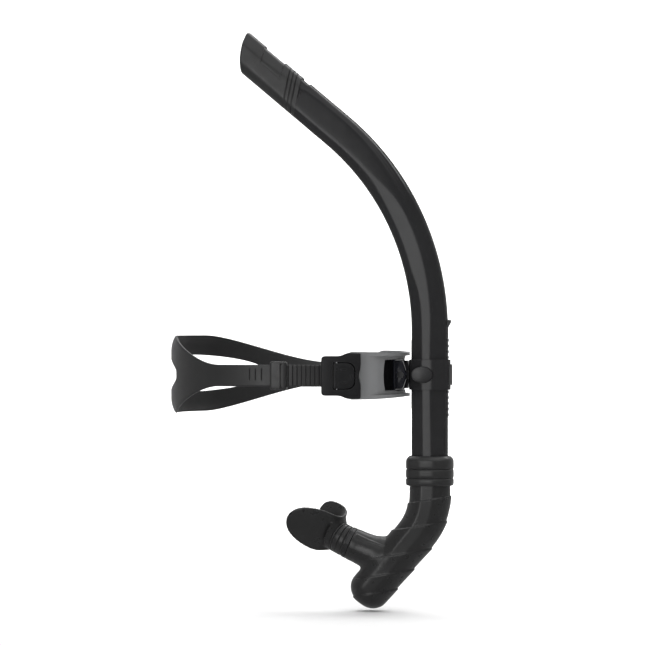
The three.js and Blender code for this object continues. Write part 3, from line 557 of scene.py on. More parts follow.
def strap_route():
    """The strap's path from inside the near buckle, round the back of the head, to the far one."""
    heading = 180 + ARM_HEADING
    x, y, _ = on_arm(BUCKLE_REAR - STRAP_INSERT + 1, 0, BUCKLE_WALL + 0.3 + STRAP_THICK / 2)
    start, middle, back = (math.radians(a) for a in (heading, heading - STRAP_GENTLE_TURN, 90))
    back_x = STRAP_LOW[0] + STRAP_THICK / 2
    along_x = back_x - x - STRAP_INSERT * math.cos(start)
    along_y = y - STRAP_INSERT * math.sin(start)
    gentle = (math.sin(start) - math.sin(middle), math.cos(middle) - math.cos(start))
    tight = (math.sin(middle) - math.sin(back), math.cos(back) - math.cos(middle))
    scale = gentle[0] * tight[1] - gentle[1] * tight[0]
    gentle_radius = (along_x * tight[1] - along_y * tight[0]) / scale
    tight_radius = (gentle[0] * along_y - gentle[1] * along_x) / scale
    back_turn = 2 * (heading - STRAP_GENTLE_TURN - 90)
    return Route(x, -y, heading, [
        (STRAP_INSERT, 0),
        (arc_length(gentle_radius, STRAP_GENTLE_TURN), -STRAP_GENTLE_TURN),
        (arc_length(tight_radius, back_turn), -back_turn),
        (arc_length(gentle_radius, STRAP_GENTLE_TURN), -STRAP_GENTLE_TURN),
        (STRAP_INSERT, 0),
    ])


STRAP_ROUTE = strap_route()
STRAP_CENTRE = STRAP_ROUTE.length / 2 + STRAP_CENTRE_SHIFT
SLOT_CENTRE = STRAP_ROUTE.length / 2 + STRAP_SLOT_SHIFT

SWIVEL_JOINT = joint("mouth_swivel")
NECK_PIVOT = np.array(SWIVEL_JOINT["pos_m"]) / MM
NECK_AXIS = np.array(SWIVEL_JOINT["axis"])
NECK_UP = np.array([NECK_AXIS[2], 0, -NECK_AXIS[0]])
NECK_SIDE = np.array([0, 1, 0])


def on_neck(along, side, up):
    """A point on the arm's own axes, before the swivel and the bend."""
    return NECK_PIVOT + NECK_AXIS * along + NECK_SIDE * side + NECK_UP * up


def turned(along, side, up, bend=NECK_BEND):
    """A point of the straight neck, turned by the rest bend and swivel."""
    ahead = along * math.cos(bend) - side * math.sin(bend)
    across = along * math.sin(bend) + side * math.cos(bend)
    sideways = across * math.cos(SWIVEL) - up * math.sin(SWIVEL)
    upward = across * math.sin(SWIVEL) + up * math.cos(SWIVEL)
    return on_neck(ahead, sideways, upward)


ARCH_ROUTE = Route(0, 0, -FLANGE_TURN, [
    (WING_LENGTH, 0),
    (arc_length(FLANGE_RADIUS, 2 * FLANGE_TURN), 2 * FLANGE_TURN),
    (WING_LENGTH, 0),
])
ARCH_FRONT = ARCH_ROUTE.at(ARCH_ROUTE.length / 2)


# ---- Materials ----

class Surface:
    """A material whose colour, roughness and bump come from noise in the object's own space."""

    def __init__(self, name, colour, roughness, spread=0.12, metallic=0.0, specular=0.5, coat=0.0):
        self.name = name
        self.material = bpy.data.materials.new(name)
        self.material.use_nodes = True
        self.nodes = self.material.node_tree.nodes
        self.links = self.material.node_tree.links
        self.shader = self.nodes["Principled BSDF"]
        self.place = self.nodes.new("ShaderNodeTexCoord").outputs["Object"]
        self.height = None
        dark = tuple(c * (1 - spread) for c in colour)
        light = tuple(min(1, c * (1 + spread)) for c in colour)
        tint = self.ramp(self.noise(55, 4), 0.3, 0.7, dark, light)
        self.rough = self.spread_of(self.noise(180, 3), roughness * 0.88, roughness * 1.12)
        self.fill(self.shader, {
            "Metallic": metallic, "Specular IOR Level": specular, "Coat Weight": coat,
            "Coat Roughness": 0.12, "Base Color": tint, "Roughness": self.rough,
        })

    def fill(self, node, inputs):
        """Sets a node's inputs to values, or links them to other nodes' outputs."""
        for socket, value in inputs.items():
            if isinstance(value, bpy.types.NodeSocket):
                self.links.new(value, node.inputs[socket])
            else:
                node.inputs[socket].default_value = value
        return node

    def node(self, kind, inputs):
        """A new node of a kind with its inputs filled."""
        return self.fill(self.nodes.new(kind), inputs)

    def noise(self, scale, detail, stretch=None):
        """A noise value; stretch squeezes it along the axes."""
        source = self.place
        if stretch:
            mapping = self.node("ShaderNodeMapping", {"Vector": source, "Scale": stretch})
            source = mapping.outputs["Vector"]
        noise = self.node("ShaderNodeTexNoise", {"Scale": scale, "Detail": detail, "Vector": source})
        return noise.outputs["Fac"]

    def ramp(self, value, low, high, dark, light):
        """A colour that runs from dark to light as the value runs from low to high."""
        node = self.node("ShaderNodeValToRGB", {"Fac": value})
        for stop, position, colour in zip(node.color_ramp.elements, (low, high), (dark, light)):
            stop.position = position
            stop.color = (*colour, 1)
        return node.outputs["Color"]

    def spread_of(self, value, low, high):
        """A noise value spread over a range."""
        return self.node("ShaderNodeMapRange", {
            "From Min": 0.3, "From Max": 0.7, "To Min": low, "To Max": high, "Value": value,
        }).outputs["Result"]

    def bump(self, value, strength, distance=0.0002):
        """Adds a height to the surface; several are chained."""
        node = self.node("ShaderNodeBump", {"Strength": strength, "Distance": distance, "Height": value})
        if self.height:
            self.fill(node, {"Normal": self.height})
        self.height = node.outputs["Normal"]
        self.fill(self.shader, {"Normal": self.height})
        return self

    def grain(self, scale, strength):
        """A fine moulded grain."""
        return self.bump(self.noise(scale, 2), strength, 0.00008)

    def scratches(self, strength, along):
        """Fine hairlines, drawn out along one axis."""
        return self.bump(self.noise(1400, 2, along), strength, 0.00005)

    def wear_and_highlight_edges(self, colour, roughness):
        """Rubs the edges toward a paler, smoother colour: partly rubbed wear, partly a painted highlight
        along the edges.
        """
        bevel = self.node("ShaderNodeBevel", {"Radius": 0.0006})
        bevel.samples = 4
        face = self.nodes.new("ShaderNodeNewGeometry")
        turn = self.node("ShaderNodeVectorMath", {0: bevel.outputs["Normal"], 1: face.outputs["Normal"]})
        turn.operation = "DOT_PRODUCT"
        # Edge mask for the paler colour: rubbed wear and a painted edge highlight.
        edge_wear_and_highlight = self.node("ShaderNodeMapRange", {
            "From Min": 0.98, "From Max": 0.86, "Value": turn.outputs["Value"],
        })
        patches = self.spread_of(self.noise(420, 3), 0.15, 0.9)
        broken = self.node("ShaderNodeMath", {0: edge_wear_and_highlight.outputs["Result"], 1: patches})
        broken.operation = "MULTIPLY"
        base = self.shader.inputs["Base Color"].links[0].from_socket
        colour_mix = self.nodes.new("ShaderNodeMix")
        colour_mix.data_type = "RGBA"
        self.fill(colour_mix, {"Factor": broken.outputs["Value"], 6: base, 7: (*colour, 1)})
        rough_mix = self.node("ShaderNodeMix", {
            "Factor": broken.outputs["Value"], 2: self.rough, 3: roughness,
        })
        self.fill(self.shader, {"Base Color": colour_mix.outputs[2], "Roughness": rough_mix.outputs[0]})
        return self


def gloss_black():
    look = Surface("gloss_black", (0.021, 0.021, 0.022), 0.17, 0.08, specular=0.18)
    return look.grain(2600, 0.04)


def black_plastic():
    look = Surface("black_plastic", (0.010, 0.010, 0.011), 0.36, 0.15, specular=0.45)
    # Paler, smoother edges: rubbed wear plus a painted edge highlight.
    return look.grain(2600, 0.15).wear_and_highlight_edges((0.04, 0.04, 0.042), 0.3)


def buckle_plastic():
    look = Surface("buckle_plastic", (0.009, 0.009, 0.010), 0.40, 0.12, specular=0.25)
    # Paler, smoother edges: rubbed wear plus a painted edge highlight.
    return look.grain(2600, 0.15).wear_and_highlight_edges((0.07, 0.07, 0.072), 0.3)


def grey_plastic():
    look = Surface("grey_plastic", (0.215, 0.218, 0.222), 0.42, 0.04, specular=0.4)
    # Paler, smoother edges: rubbed wear plus a painted edge highlight.
    return look.grain(1100, 0.22).wear_and_highlight_edges((0.34, 0.34, 0.345), 0.32)


def smoke_plastic():
    look = Surface("smoke_plastic", (0.010, 0.011, 0.016), 0.18, 0.18, specular=0.3, coat=0.15)
    return look.grain(500, 0.08)


def silicone(name="silicone", tone=0.018, roughness=0.36, specular=0.38):
    look = Surface(name, (tone, tone, tone * 1.02), roughness, 0.10, specular=specular)
    look.fill(look.shader, {"Sheen Weight": 0.08, "Sheen Roughness": 0.5})
    return look.grain(600, 0.04)


def soft_pad():
    look = Surface("soft_pad", (0.0035, 0.0035, 0.004), 0.75, 0.2, specular=0.06)
    return look.grain(2200, 0.5).bump(look.noise(260, 4), 0.25, 0.0002)


def steel():
    look = Surface("steel", (0.62, 0.63, 0.65), 0.28, 0.05, metallic=1.0)
    return look.scratches(0.3, (0.05, 1, 1))


LOOKS = {look.name: look.material for look in (
    gloss_black(), black_plastic(), buckle_plastic(), grey_plastic(), smoke_plastic(), silicone(),
    silicone("elbow_silicone", 0.016, 0.30, 0.34), soft_pad(), steel(),
)}


def place(piece, body, look, node):
    """Gives a piece its look, body and slot, and hides the CAD node it stands for."""
    piece.data.materials.clear()
    piece.data.materials.append(LOOKS[look])
    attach(piece, body)
    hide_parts(node)


# ---- Tube and tip cap ----

def run_along(curve, s):
    """A value that runs smoothly through (distance, value) stations."""
    places, values = zip(*curve)
    slopes = np.gradient(values, places)
    index = int(np.clip(np.searchsorted(places, s) - 1, 0, len(places) - 2))
    span = places[index + 1] - places[index]
    t = min(1, max(0, (s - places[index]) / span))
    start = (1 + 2 * t) * (1 - t) ** 2 * values[index] + t * (1 - t) ** 2 * span * slopes[index]
    end = t * t * (3 - 2 * t) * values[index + 1] - t * t * (1 - t) * span * slopes[index + 1]
    return start + end


def soft_past(amount):
    """Zero below nothing and the amount above it, with a soft knee."""
    return (amount + np.sqrt(amount * amount + CREASE_SOFT ** 2)) / 2


def side_reach(half_width, y, s):
    """How far out the folded side reaches at a depth y and a distance s along the tube."""
    front = run_along(FRONT_CREASE, s)
    strip_front = max(front + 0.1, run_along(STRIP_FRONT, s))
    strip_rear = max(strip_front + 0.1, run_along(STRIP_REAR, s))
    fall = MIDDLE_SLOPE * soft_past(strip_front - y)
    fall += (FRONT_SLOPE - MIDDLE_SLOPE) * soft_past(front - y)
    fall += STRIP_SLOPE * soft_past(y - strip_front)
    fall += (REAR_SLOPE - STRIP_SLOPE) * soft_past(y - strip_rear)
    return half_width - fall


def tube_outline(half_width, half_depth, s=0.0, sides=96):
    """The tube's outline (across, depth): folded sides and a round front and rear."""
    angles = 2 * math.pi * np.arange(sides) / sides
    share = np.abs(np.sin(angles))
    full = half_width * (1 - np.minimum(1, share) ** OVAL_POWER) ** (1 / OVAL_POWER)
    reach = side_reach(half_width, np.sin(angles) * TUBE_DEPTH, s)
    gap = full - reach
    across = full - (gap + np.sqrt(gap * gap + 0.25)) / 2
    across = np.maximum(0, across) * np.sign(np.round(np.cos(angles), 9))
    return np.column_stack([across, half_depth * np.sin(angles)])


def outline_ring(way, outline, distance):
    """An outline of (across, depth) set square across a route."""
    return [side_point(way, x, y, distance) for x, y in outline]


def tube_shell():
    """The hollow tube, with its end narrowed inside the cap."""
    seat = np.linspace(CAP_START + 0.2, CAP_START + SEAT_LENGTH, 4)
    stations = [*np.linspace(0, CAP_START, 150), *seat]
    outer = []
    for s in stations:
        pull = SEAT_PULL if s > CAP_START else SKIN_GAP
        outer.append(outline_ring(TUBE_ROUTE, tube_outline(TUBE_WIDTH - pull, TUBE_DEPTH - pull, s), s))
    bore = tube_outline(
        TUBE_WIDTH - TUBE_WALL - TUBE_BORE_PLAY,
        TUBE_DEPTH - TUBE_WALL - TUBE_BORE_PLAY,
    )
    inner = [outline_ring(TUBE_ROUTE, bore, s) for s in stations]
    return loft("tube_shell", outer + inner[::-1], loop=True, crease=50)


def tip_cap():
    """The soft cap: a bulged slanting mouth, a recessed panel on its upper side and three grooves."""
    panel, end = CAP_RECESS
    grooves = CAP_GROOVES[0] - 1
    stations = np.concatenate([
        [0, 0.3, 0.8, 1.5],
        np.arange(2.5, panel - 1, 1.5),
        np.arange(panel - 1, panel + 1, 0.2),
        np.arange(panel + 1, end - 1, 1.5),
        np.arange(end - 1, end + 1, 0.2),
        np.arange(end + 1, grooves, 1.5),
        np.arange(grooves, CAP_LENGTH - 0.4, 0.2),
        [CAP_LENGTH - 0.3, CAP_LENGTH],
    ])
    outer = [cap_ring(q, 0) for q in stations]
    inner = [cap_ring(q, CAP_WALL) for q in (0.9, 2.5, 20, 40, CAP_LENGTH)]
    return loft("tip_cap_soft", outer + inner[::-1], loop=True, crease=60)


def cap_ring(q, wall):
    """One ring of the cap, sheared like its mouth, at a distance q behind the mouth."""
    points = []
    for x, y in tube_outline(TUBE_WIDTH, TUBE_DEPTH, TUBE_LENGTH - q):
        drawn = wall or cap_relief(y, q)
        scale_x = 1 - drawn / TUBE_WIDTH
        scale_y = 1 - drawn / TUBE_DEPTH
        crown = math.cos(min(1, abs(y) / TUBE_DEPTH) * math.pi / 2)
        bulge = CAP_BULGE * crown * max(0, 1 - q / CAP_BULGE_LENGTH)
        lean = y * math.tan(CAP_SLANT)
        points.append(side_point(TUBE_ROUTE, x * scale_x, y * scale_y, TUBE_LENGTH - lean - q + bulge))
    return points


def cap_relief(y, q):
    """How deep the cap's skin lies under the tube's outline: lip, panel, grooves and base edge."""
    lip = CAP_LIP * max(0, 1 - q / CAP_LIP_LENGTH) ** 2
    deep = CAP_GROOVE_DEEP * max(max(0, 1 - abs(q - groove) / CAP_GROOVE_HALF) for groove in CAP_GROOVES)
    deep *= mix(1, 0.3, smooth((y + 6) / 16))
    panel = smooth((q - CAP_RECESS[0]) / 0.4 + 0.5) * smooth((CAP_RECESS[1] - q) / 0.4 + 0.5)
    panel *= smooth((CAP_RECESS_EDGE - y) / 0.6 + 0.5)
    base = CAP_EDGE * max(0, 1 - (CAP_LENGTH - q) / CAP_EDGE_LENGTH)
    return lip + deep + base + CAP_RECESS_DEEP * panel + 0.02


# ---- Collar ----

def collar():
    """A soft clamp collar: rounded shoulder, two grooves and a rolled foot."""
    top = COLLAR_HIGH[2]
    bottom = COLLAR_LOW[2]
    half_width = COLLAR_HIGH[1]
    half_depth = (COLLAR_HIGH[0] - COLLAR_LOW[0]) / 2
    stations = [0, 0.02, 0.05, 0.1, 0.16, 0.24, 0.34, 0.55, 0.64, 0.86, 0.93, 0.97, 1]
    for groove in COLLAR_GROOVES:
        stations += [groove + step for step in (-0.035, -0.018, 0, 0.018, 0.035)]
    outer = []
    for share in sorted(stations):
        shoulder = COLLAR_SHOULDER * (1 - min(1, share / 0.2)) ** 2.4
        foot = COLLAR_FOOT * max(0, (share - 0.93) / 0.07) ** 2
        deep = max(COLLAR_GROOVE_DEEP * max(0, 1 - abs(share - groove) / 0.03) for groove in COLLAR_GROOVES)
        pull = shoulder + foot + deep + SKIN_GAP
        outline = tube_outline(half_width - pull, half_depth - pull)
        outer.append(level_ring(outline, top - share * (top - bottom)))
    hole = tube_outline(TUBE_WIDTH + SOFT_PLAY, TUBE_DEPTH + SOFT_PLAY)
    wide = tube_outline(half_width - COLLAR_WALL, half_depth - COLLAR_WALL)
    inner = [
        level_ring(hole, top), level_ring(hole, top - 1.6),
        level_ring(wide, top - 2.2), level_ring(wide, bottom),
    ]
    return loft("collar_soft", outer + inner[::-1], loop=True, crease=55)


def level_ring(outline, z):
    """A level ring round the tube's straight part from an outline of (across, depth)."""
    return [(TUBE_X - depth, across, z) for across, depth in outline]


# ---- Elbow ----

def leg_radii(distance, depth_top, width_top, radius):
    """The half depth and half width of the elbow's leg at a distance down it."""
    t = smooth(distance / (ELBOW_ROUTE.length - PURGE_STRAIGHT))
    return mix(depth_top, radius, t), mix(width_top, radius, t)


def leg_skin(name, pull, start):
    """The leg from the collar to its rounded end."""
    length = ELBOW_ROUTE.length
    radius = PURGE_RADIUS - pull
    rings = []
    for s in np.linspace(start, length, 34):
        half_depth, half_width = leg_radii(s, SLEEVE_DEPTH - pull, SLEEVE_WIDTH - pull, radius)
        rings.append(leg_ring(half_depth, half_width, s))
    for t in np.linspace(0, 1, 10)[1:]:
        angle = t * math.pi / 2
        r = max(0.4, radius * math.cos(angle))
        rings.append(leg_ring(r, r, length + LEG_DOME * radius * math.sin(angle)))
    return loft(name, rings, crease=60)


def leg_ring(half_depth, half_width, distance):
    """One ring of the leg, a little flat at its sides."""
    points = []
    for angle in turns(64):
        y = half_depth * math.sin(angle)
        x = half_width * math.cos(angle)
        flat = half_width * (LEG_FLAT - LEG_FOLD * max(0, abs(math.sin(angle)) - 0.36))
        x = math.copysign(min(abs(x), flat), x)
        points.append(side_point(ELBOW_ROUTE, x, y, distance))
    return points


def neck_skin(name, radii):
    """A round skin along the arm's axis from (along, radius) pairs."""
    return loft(name, [
        [on_neck(along, radius * math.cos(turn), radius * math.sin(turn)) for turn in turns(40)]
        for along, radius in radii
    ])


def branch_fillet():
    """The web that rounds the corner between the arm's top and the leg."""
    rings = []
    for along, top in FILLET_TOPS:
        half = (top + FILLET_FOOT) / 2
        ring = []
        for turn in np.linspace(0, 2 * math.pi, 41)[:-1]:
            ring.append(on_neck(along, FILLET_SIDE * math.cos(turn), top - half + half * math.sin(turn)))
        rings.append(ring)
    return loft("fillet", rings)


def elbow():
    """The soft Y-shaped elbow: leg and arm united, hollowed, melted into one skin and scaled."""
    body = leg_skin("elbow_soft", ELBOW_SKIN_GAP, 0)
    arm = neck_skin("arm", [*ARM_SKIN, (-ARM_END, NECK_RADIUS + 0.1)])
    combine(body, [arm, branch_fillet()], "UNION")
    inner = leg_skin("bore", SLEEVE_WALL + 0.2, 1.5)
    arm_bore = neck_skin("arm_bore", [ARM_BORE_ROOT, (-ARM_END + 3, NECK_BORE + 1.8)])
    end = ELBOW_ROUTE.length
    outlet = loft("outlet", [leg_ring(PURGE_OUTLET, PURGE_OUTLET, end + s) for s in (-4, 24)])
    hole = tube_outline(TUBE_WIDTH + SOFT_PLAY, TUBE_DEPTH + SOFT_PLAY)
    socket = loft("socket", [level_ring(hole, SLEEVE_TOP + 3), level_ring(hole, SLEEVE_TOP - 12)])
    combine(body, [inner, arm_bore, outlet, socket], "DIFFERENCE")
    remeshed(body, 0.6, 2)
    soften_branch(body)
    shingle(body)
    body.data.set_sharp_from_angle(angle=math.radians(60))
    return body


def mesh_points(mesh):
    """A mesh's points in millimetres and their normals."""
    points = np.array([v.co for v in mesh.vertices]) / MM
    return points, np.array([v.normal for v in mesh.vertices])


def outward_share(points, normals):
    """1 on the elbow's outer skin and 0 inside its bore."""
    axis = np.array([side_point(ELBOW_ROUTE, 0, 0, s) for s in np.linspace(0, ELBOW_ROUTE.length, 60)])
    nearest = np.argmin(((points[:, None, :] - axis[None, :, :]) ** 2).sum(axis=2), axis=1)
    facing = ((points - axis[nearest]) * normals).sum(axis=1)
    return smooth(facing / 6)


def soften_branch(piece):
    """Rounds the crease where the arm leaves the leg, on the outer skin only."""
    mesh = piece.data
    points, normals = mesh_points(mesh)
    along = (points - NECK_PIVOT) @ NECK_AXIS
    across = np.linalg.norm(points - NECK_PIVOT - along[:, None] * NECK_AXIS, axis=1)
    weight = smooth((along - SOFTEN_START) / 8) * smooth((SOFTEN_END - along) / 6)
    weight *= across > NECK_RADIUS - 0.5
    work = bmesh.new()
    work.from_mesh(mesh)
    chosen = [v for v, w in zip(work.verts, weight) if w > 0.05]
    for _ in range(SOFTEN_ROUNDS):
        bmesh.ops.smooth_vert(
            work, verts=chosen, factor=0.5, use_axis_x=True, use_axis_y=True, use_axis_z=True,
        )
    work.to_mesh(mesh)
    work.free()
    mesh.update()


def shingle(piece):
    """Raises the overlapping scales, each a small ledge that falls away down the leg, and the arm's spear."""
    mesh = piece.data
    points, normals = mesh_points(mesh)
    height = SCALE_LEAN * points[:, 0] - points[:, 2]
    offset = points - NECK_PIVOT
    along = offset @ NECK_AXIS
    lift = np.zeros(len(points))
    for top, bottom in zip(SCALES, SCALES[1:]):
        share = (height - top) / (bottom - top)
        ledge = smooth((height - top) / SCALE_EDGE)
        lift += np.where(share > 0, ledge * np.clip(1 - share, 0, 1) ** 1.3, 0)
    lift *= SCALE_RISE * smooth((SCALES_END - along) / 8)
    turn = np.arctan2(offset @ NECK_UP, -offset[:, 1])
    run = np.clip((along - SPEAR_TIP) / (SPEAR_ROOT - SPEAR_TIP), 0, 1)
    aside = np.abs(turn - SPEAR_TURN) * NECK_RADIUS
    spear = SPEAR_RISE * smooth(1.5 - aside / (0.2 + SPEAR_HALF * run))
    lift += spear * smooth(run * 5) * (along < SPEAR_ROOT)
    moved = points + normals * (lift * outward_share(points, normals))[:, None]
    mesh.vertices.foreach_set("co", (moved * MM).ravel())
    mesh.update()


# ---- Neck and mouthpiece ----

def bellows():
    """The flexible neck: a bent sleeve with three thin grooves between the swivel and the mouthpiece."""
    radius = BELLOWS_HALF / math.tan(NECK_BEND / 2)
    rings = []
    for t in np.linspace(0, 1, 67):
        groove = max(max(0, 1 - abs(t - middle) / 0.06) for middle in NECK_GROOVES)
        rings.append(neck_ring(radius, t * NECK_BEND, NECK_RADIUS - 0.35 - NECK_GROOVE_DEEP * groove))
    inner = [neck_ring(radius, t * NECK_BEND, NECK_BORE + 0.1) for t in np.linspace(0, 1, 7)]
    return loft("neck_ribs", rings + inner[::-1], loop=True, crease=50)


def neck_ring(bend_radius, angle, ring_radius):
    """One ring of the bent neck."""
    points = []
    for turn in turns(48):
        reach = bend_radius - ring_radius * math.cos(turn)
        along = reach * math.sin(angle) - BELLOWS_HALF
        side = bend_radius - reach * math.cos(angle)
        points.append(turned(along, side, ring_radius * math.sin(turn), 0))
    return points


def on_arch(up, inward, distance):
    """A point on the flange: up its wall, inward off its outer face, at a distance round the arch."""
    u, v, angle = ARCH_ROUTE.at(distance)
    side = u - ARCH_FRONT[0] - inward * math.sin(angle)
    along = FLANGE_OFFSET + v - ARCH_FRONT[1] + inward * math.cos(angle)
    return turned(along, side, up + FLANGE_RISE)


def flange_half_height(distance):
    """The flange's half height: waisted at its middle and rounded at its ends."""
    across = min(1, abs(2 * distance / ARCH_ROUTE.length - 1))
    waist = mix(BRIDGE_HALF_HEIGHT, WING_HALF_HEIGHT, smooth(across * 2))
    return max(0.8, waist * math.sqrt(max(0, 1 - across ** 3.4)))


def flange():
    """The arched flange with a rolled rim."""
    rings = []
    length = ARCH_ROUTE.length
    for s in length * (1 - np.cos(np.linspace(0, math.pi, 90))) / 2:
        half = flange_half_height(s)
        outer = [on_arch(up * half, 0, s) for up in np.linspace(-1, 1, 25)]
        inner = [on_arch(up * half, FLANGE_THICK, s) for up in np.linspace(1, -1, 25)]
        rings.append(outer + inner)
    return loft("mouthpiece_soft", rings)


def mouthpiece():
    """Flange, stub and bite tabs melted into one soft piece, with the airway cut through."""
    body = flange()
    parts = [neck_stub()]
    for far in (False, True):
        parts += [bite_box("tab", far, *BITE_TAB), bite_box("ridge", far, *BITE_RIDGE)]
    combine(body, parts, "UNION")
    remeshed(body, 0.7, 5)
    airway = loft("airway", [pipe_ring(NECK_BORE, s) for s in (0, FLANGE_OFFSET + 14)])
    combine(body, [airway], "DIFFERENCE")
    body.data.shade_smooth()
    body.data.set_sharp_from_angle(angle=math.radians(60))
    return body


def pipe_ring(radius, along, rise=0.0):
    """A ring round the neck's axis, or a little above it."""
    return [
        turned(along, radius * math.cos(turn), radius * math.sin(turn) + rise) for turn in turns(48)
    ]


def neck_stub():
    """The flared stub that joins the neck to the flange and climbs to the flange's middle."""
    start = BELLOWS_HALF + 0.3
    rings = []
    for share in (0, 0.2, 0.4, 0.6, 0.8, 1):
        radius = NECK_RADIUS - 0.3 + STUB_FLARE * share ** 2
        rings.append(pipe_ring(radius, start + STUB_LENGTH * share, FLANGE_RISE * share))
    return loft("stub", rings)


def bite_box(name, far, up_half, low, high):
    """A block on the inside of one wing."""
    corners = [(-up_half, low), (up_half, low), (up_half, high), (-up_half, high)]
    rings = []
    for s in (BITE_START, BITE_START + BITE_LENGTH):
        d = ARCH_ROUTE.length - s if far else s
        rings.append([on_arch(up, inward, d) for up, inward in corners])
    return loft(name, rings)


# ---- Strap ----

def strap_point(up, out, s):
    """A point beside the strap's middle: out is away from the head."""
    return top_point(STRAP_ROUTE, up, -out, s)


def back_share(s):
    """How far the strap has widened at a distance: 0 on its tails, 1 at the back of the head."""
    full, end = STRAP_NEAR_TAPER if s < STRAP_CENTRE else STRAP_FAR_TAPER
    return 1 - smooth((abs(s - STRAP_CENTRE) - full) / (end - full))


def strap_half_height(s):
    """Half the strap's height at a distance."""
    return mix(STRAP_TAIL_HALF, STRAP_BACK_HALF, back_share(s))


def strap_slot_half(s):
    """Half the height of the slot between the strap's two bands, or 0 outside it."""
    across = min(1, abs(s - SLOT_CENTRE) / STRAP_SLOT_HALF)
    return STRAP_SLOT_HEIGHT * math.sqrt(1 - across ** 2)


def strap_camber(s, z):
    """How far the strap's wide edges curl in toward the head."""
    past = max(0, abs(z) - STRAP_CAMBER_START) / (STRAP_BACK_HALF - STRAP_CAMBER_START)
    return STRAP_CAMBER * back_share(s) * past ** 2


def groove_depth(s, z):
    """How deep a groove is cut at a point of the strap's outer face."""
    from_end = min(s, STRAP_ROUTE.length - s)
    deep = max(1 - abs(from_end - groove) / GROOVE_HALF for groove in TAIL_GROOVES)
    short = max(1 - abs(s - groove) / GROOVE_HALF for groove in SHORT_GROOVES)
    low, high = SHORT_GROOVE_REACH
    if low < z < high:
        deep = max(deep, short)
    return GROOVE_DEPTH * max(0, deep)


def edge_round(distance):
    """How much the strap thins by a free edge."""
    return max(0, 1 - distance / STRAP_EDGE) ** 2 * STRAP_EDGE_ROUND


def strap_band(upper):
    """The cross-sections of one half of the strap, from its middle line or slot to its edge."""
    half = STRAP_THICK / 2 - SKIN_GAP
    side = 1 if upper else -1
    rings = []
    stations = strap_stations()
    for s in stations:
        low = strap_slot_half(s)
        high = strap_half_height(s) - SKIN_GAP
        outer = []
        inner = []
        for t in np.linspace(0, 1, 15):
            z = mix(low, high, t)
            round_off = edge_round(high - z) + edge_round(z - low) * min(1, low / 0.7)
            middle = -strap_camber(s, z)
            groove = groove_depth(s, side * z) if t < 0.95 else 0
            outer.append(strap_point(side * z, middle + half - round_off - groove, s))
            inner.append(strap_point(side * z, middle - half + round_off, s))
        rings.append(outer + inner[::-1])
    return np.array(rings), stations


def strap_stations():
    """Close steps over the grooves and the slot's ends, wider ones between."""
    length = STRAP_ROUTE.length
    stations = set(np.round(np.linspace(0, length, 190), 3))
    grooves = [*TAIL_GROOVES, *[length - groove for groove in TAIL_GROOVES], *SHORT_GROOVES]
    for groove in grooves:
        stations.update(np.round(groove + GROOVE_HALF * np.array([-1.4, -1, -0.5, 0, 0.5, 1, 1.4]), 3))
    for side in (1, -1):
        steps = np.array([-0.3, 0, 0.05, 0.2, 0.5, 1, 1.6, 2.4, 4, 6])
        stations.update(np.round(SLOT_CENTRE + side * (STRAP_SLOT_HALF - steps), 3))
    return sorted(stations)


def strap():
    """The one-piece strap: two halves that share their middle line outside the slot."""
    points = []
    faces = []
    for upper in (True, False):
        rings, stations = strap_band(upper)
        count, sides = rings.shape[:2]
        base = len(points)
        points.extend(rings.reshape(-1, 3))
        for i in range(count - 1):
            open_here = strap_slot_half(stations[i]) > 0 or strap_slot_half(stations[i + 1]) > 0
            for j in range(sides):
                if j == sides - 1 and not open_here:
                    continue
                k = (j + 1) % sides
                low = base + i * sides
                high = low + sides
                faces.append((low + j, low + k, high + k, high + j))
        for i in (0, count - 1):
            low = base + i * sides
            faces.append(tuple(low + j for j in range(sides)))
    return mesh_object("strap_soft", points, faces, 60)


def keeper():
    """The loop that holds the near tail down: rounded, with a slit across its outer face."""
    half_height = STRAP_TAIL_HALF + SOFT_PLAY
    half_thick = STRAP_THICK / 2 + SOFT_PLAY
    low, high = KEEPER_SLIT
    ends = [0, 0.25, 0.7, KEEPER_EDGE]
    stations = [low - 0.05, low, high, high + 0.05, *np.linspace(high + 1, KEEPER_LENGTH - 1.8, 12)]
    stations += ends + [KEEPER_LENGTH - end for end in ends]
    rings = []
    for q in sorted(stations):
        round_off = 0.8 * max(0, 1 - min(q, KEEPER_LENGTH - q) / KEEPER_EDGE) ** 2
        slit = KEEPER_SLIT_DEEP if low <= q <= high else 0
        grow = KEEPER_WALL - round_off
        rings.append(keeper_ring(q, half_height + grow, half_thick + grow, slit))
    inner = [keeper_ring(q, half_height, half_thick, 0) for q in np.linspace(0, KEEPER_LENGTH, 8)]
    return loft("keeper_soft", rings + inner[::-1], loop=True, crease=55)


def keeper_ring(q, half_height, half_thick, slit):
    """One squared ring of the keeper; a slit draws its outer face in."""
    points = []
    for turn in turns(40, 0.5):
        z = half_height * squared(math.cos(turn), KEEPER_SQUARE)
        side = math.sin(turn)
        out = half_thick * squared(side, KEEPER_SQUARE)
        pull = slit if side > 0 and abs(z) < half_height * 0.82 else 0
        points.append(strap_point(z, out - pull, KEEPER_START + q))
    return points


# ---- Bracket ----

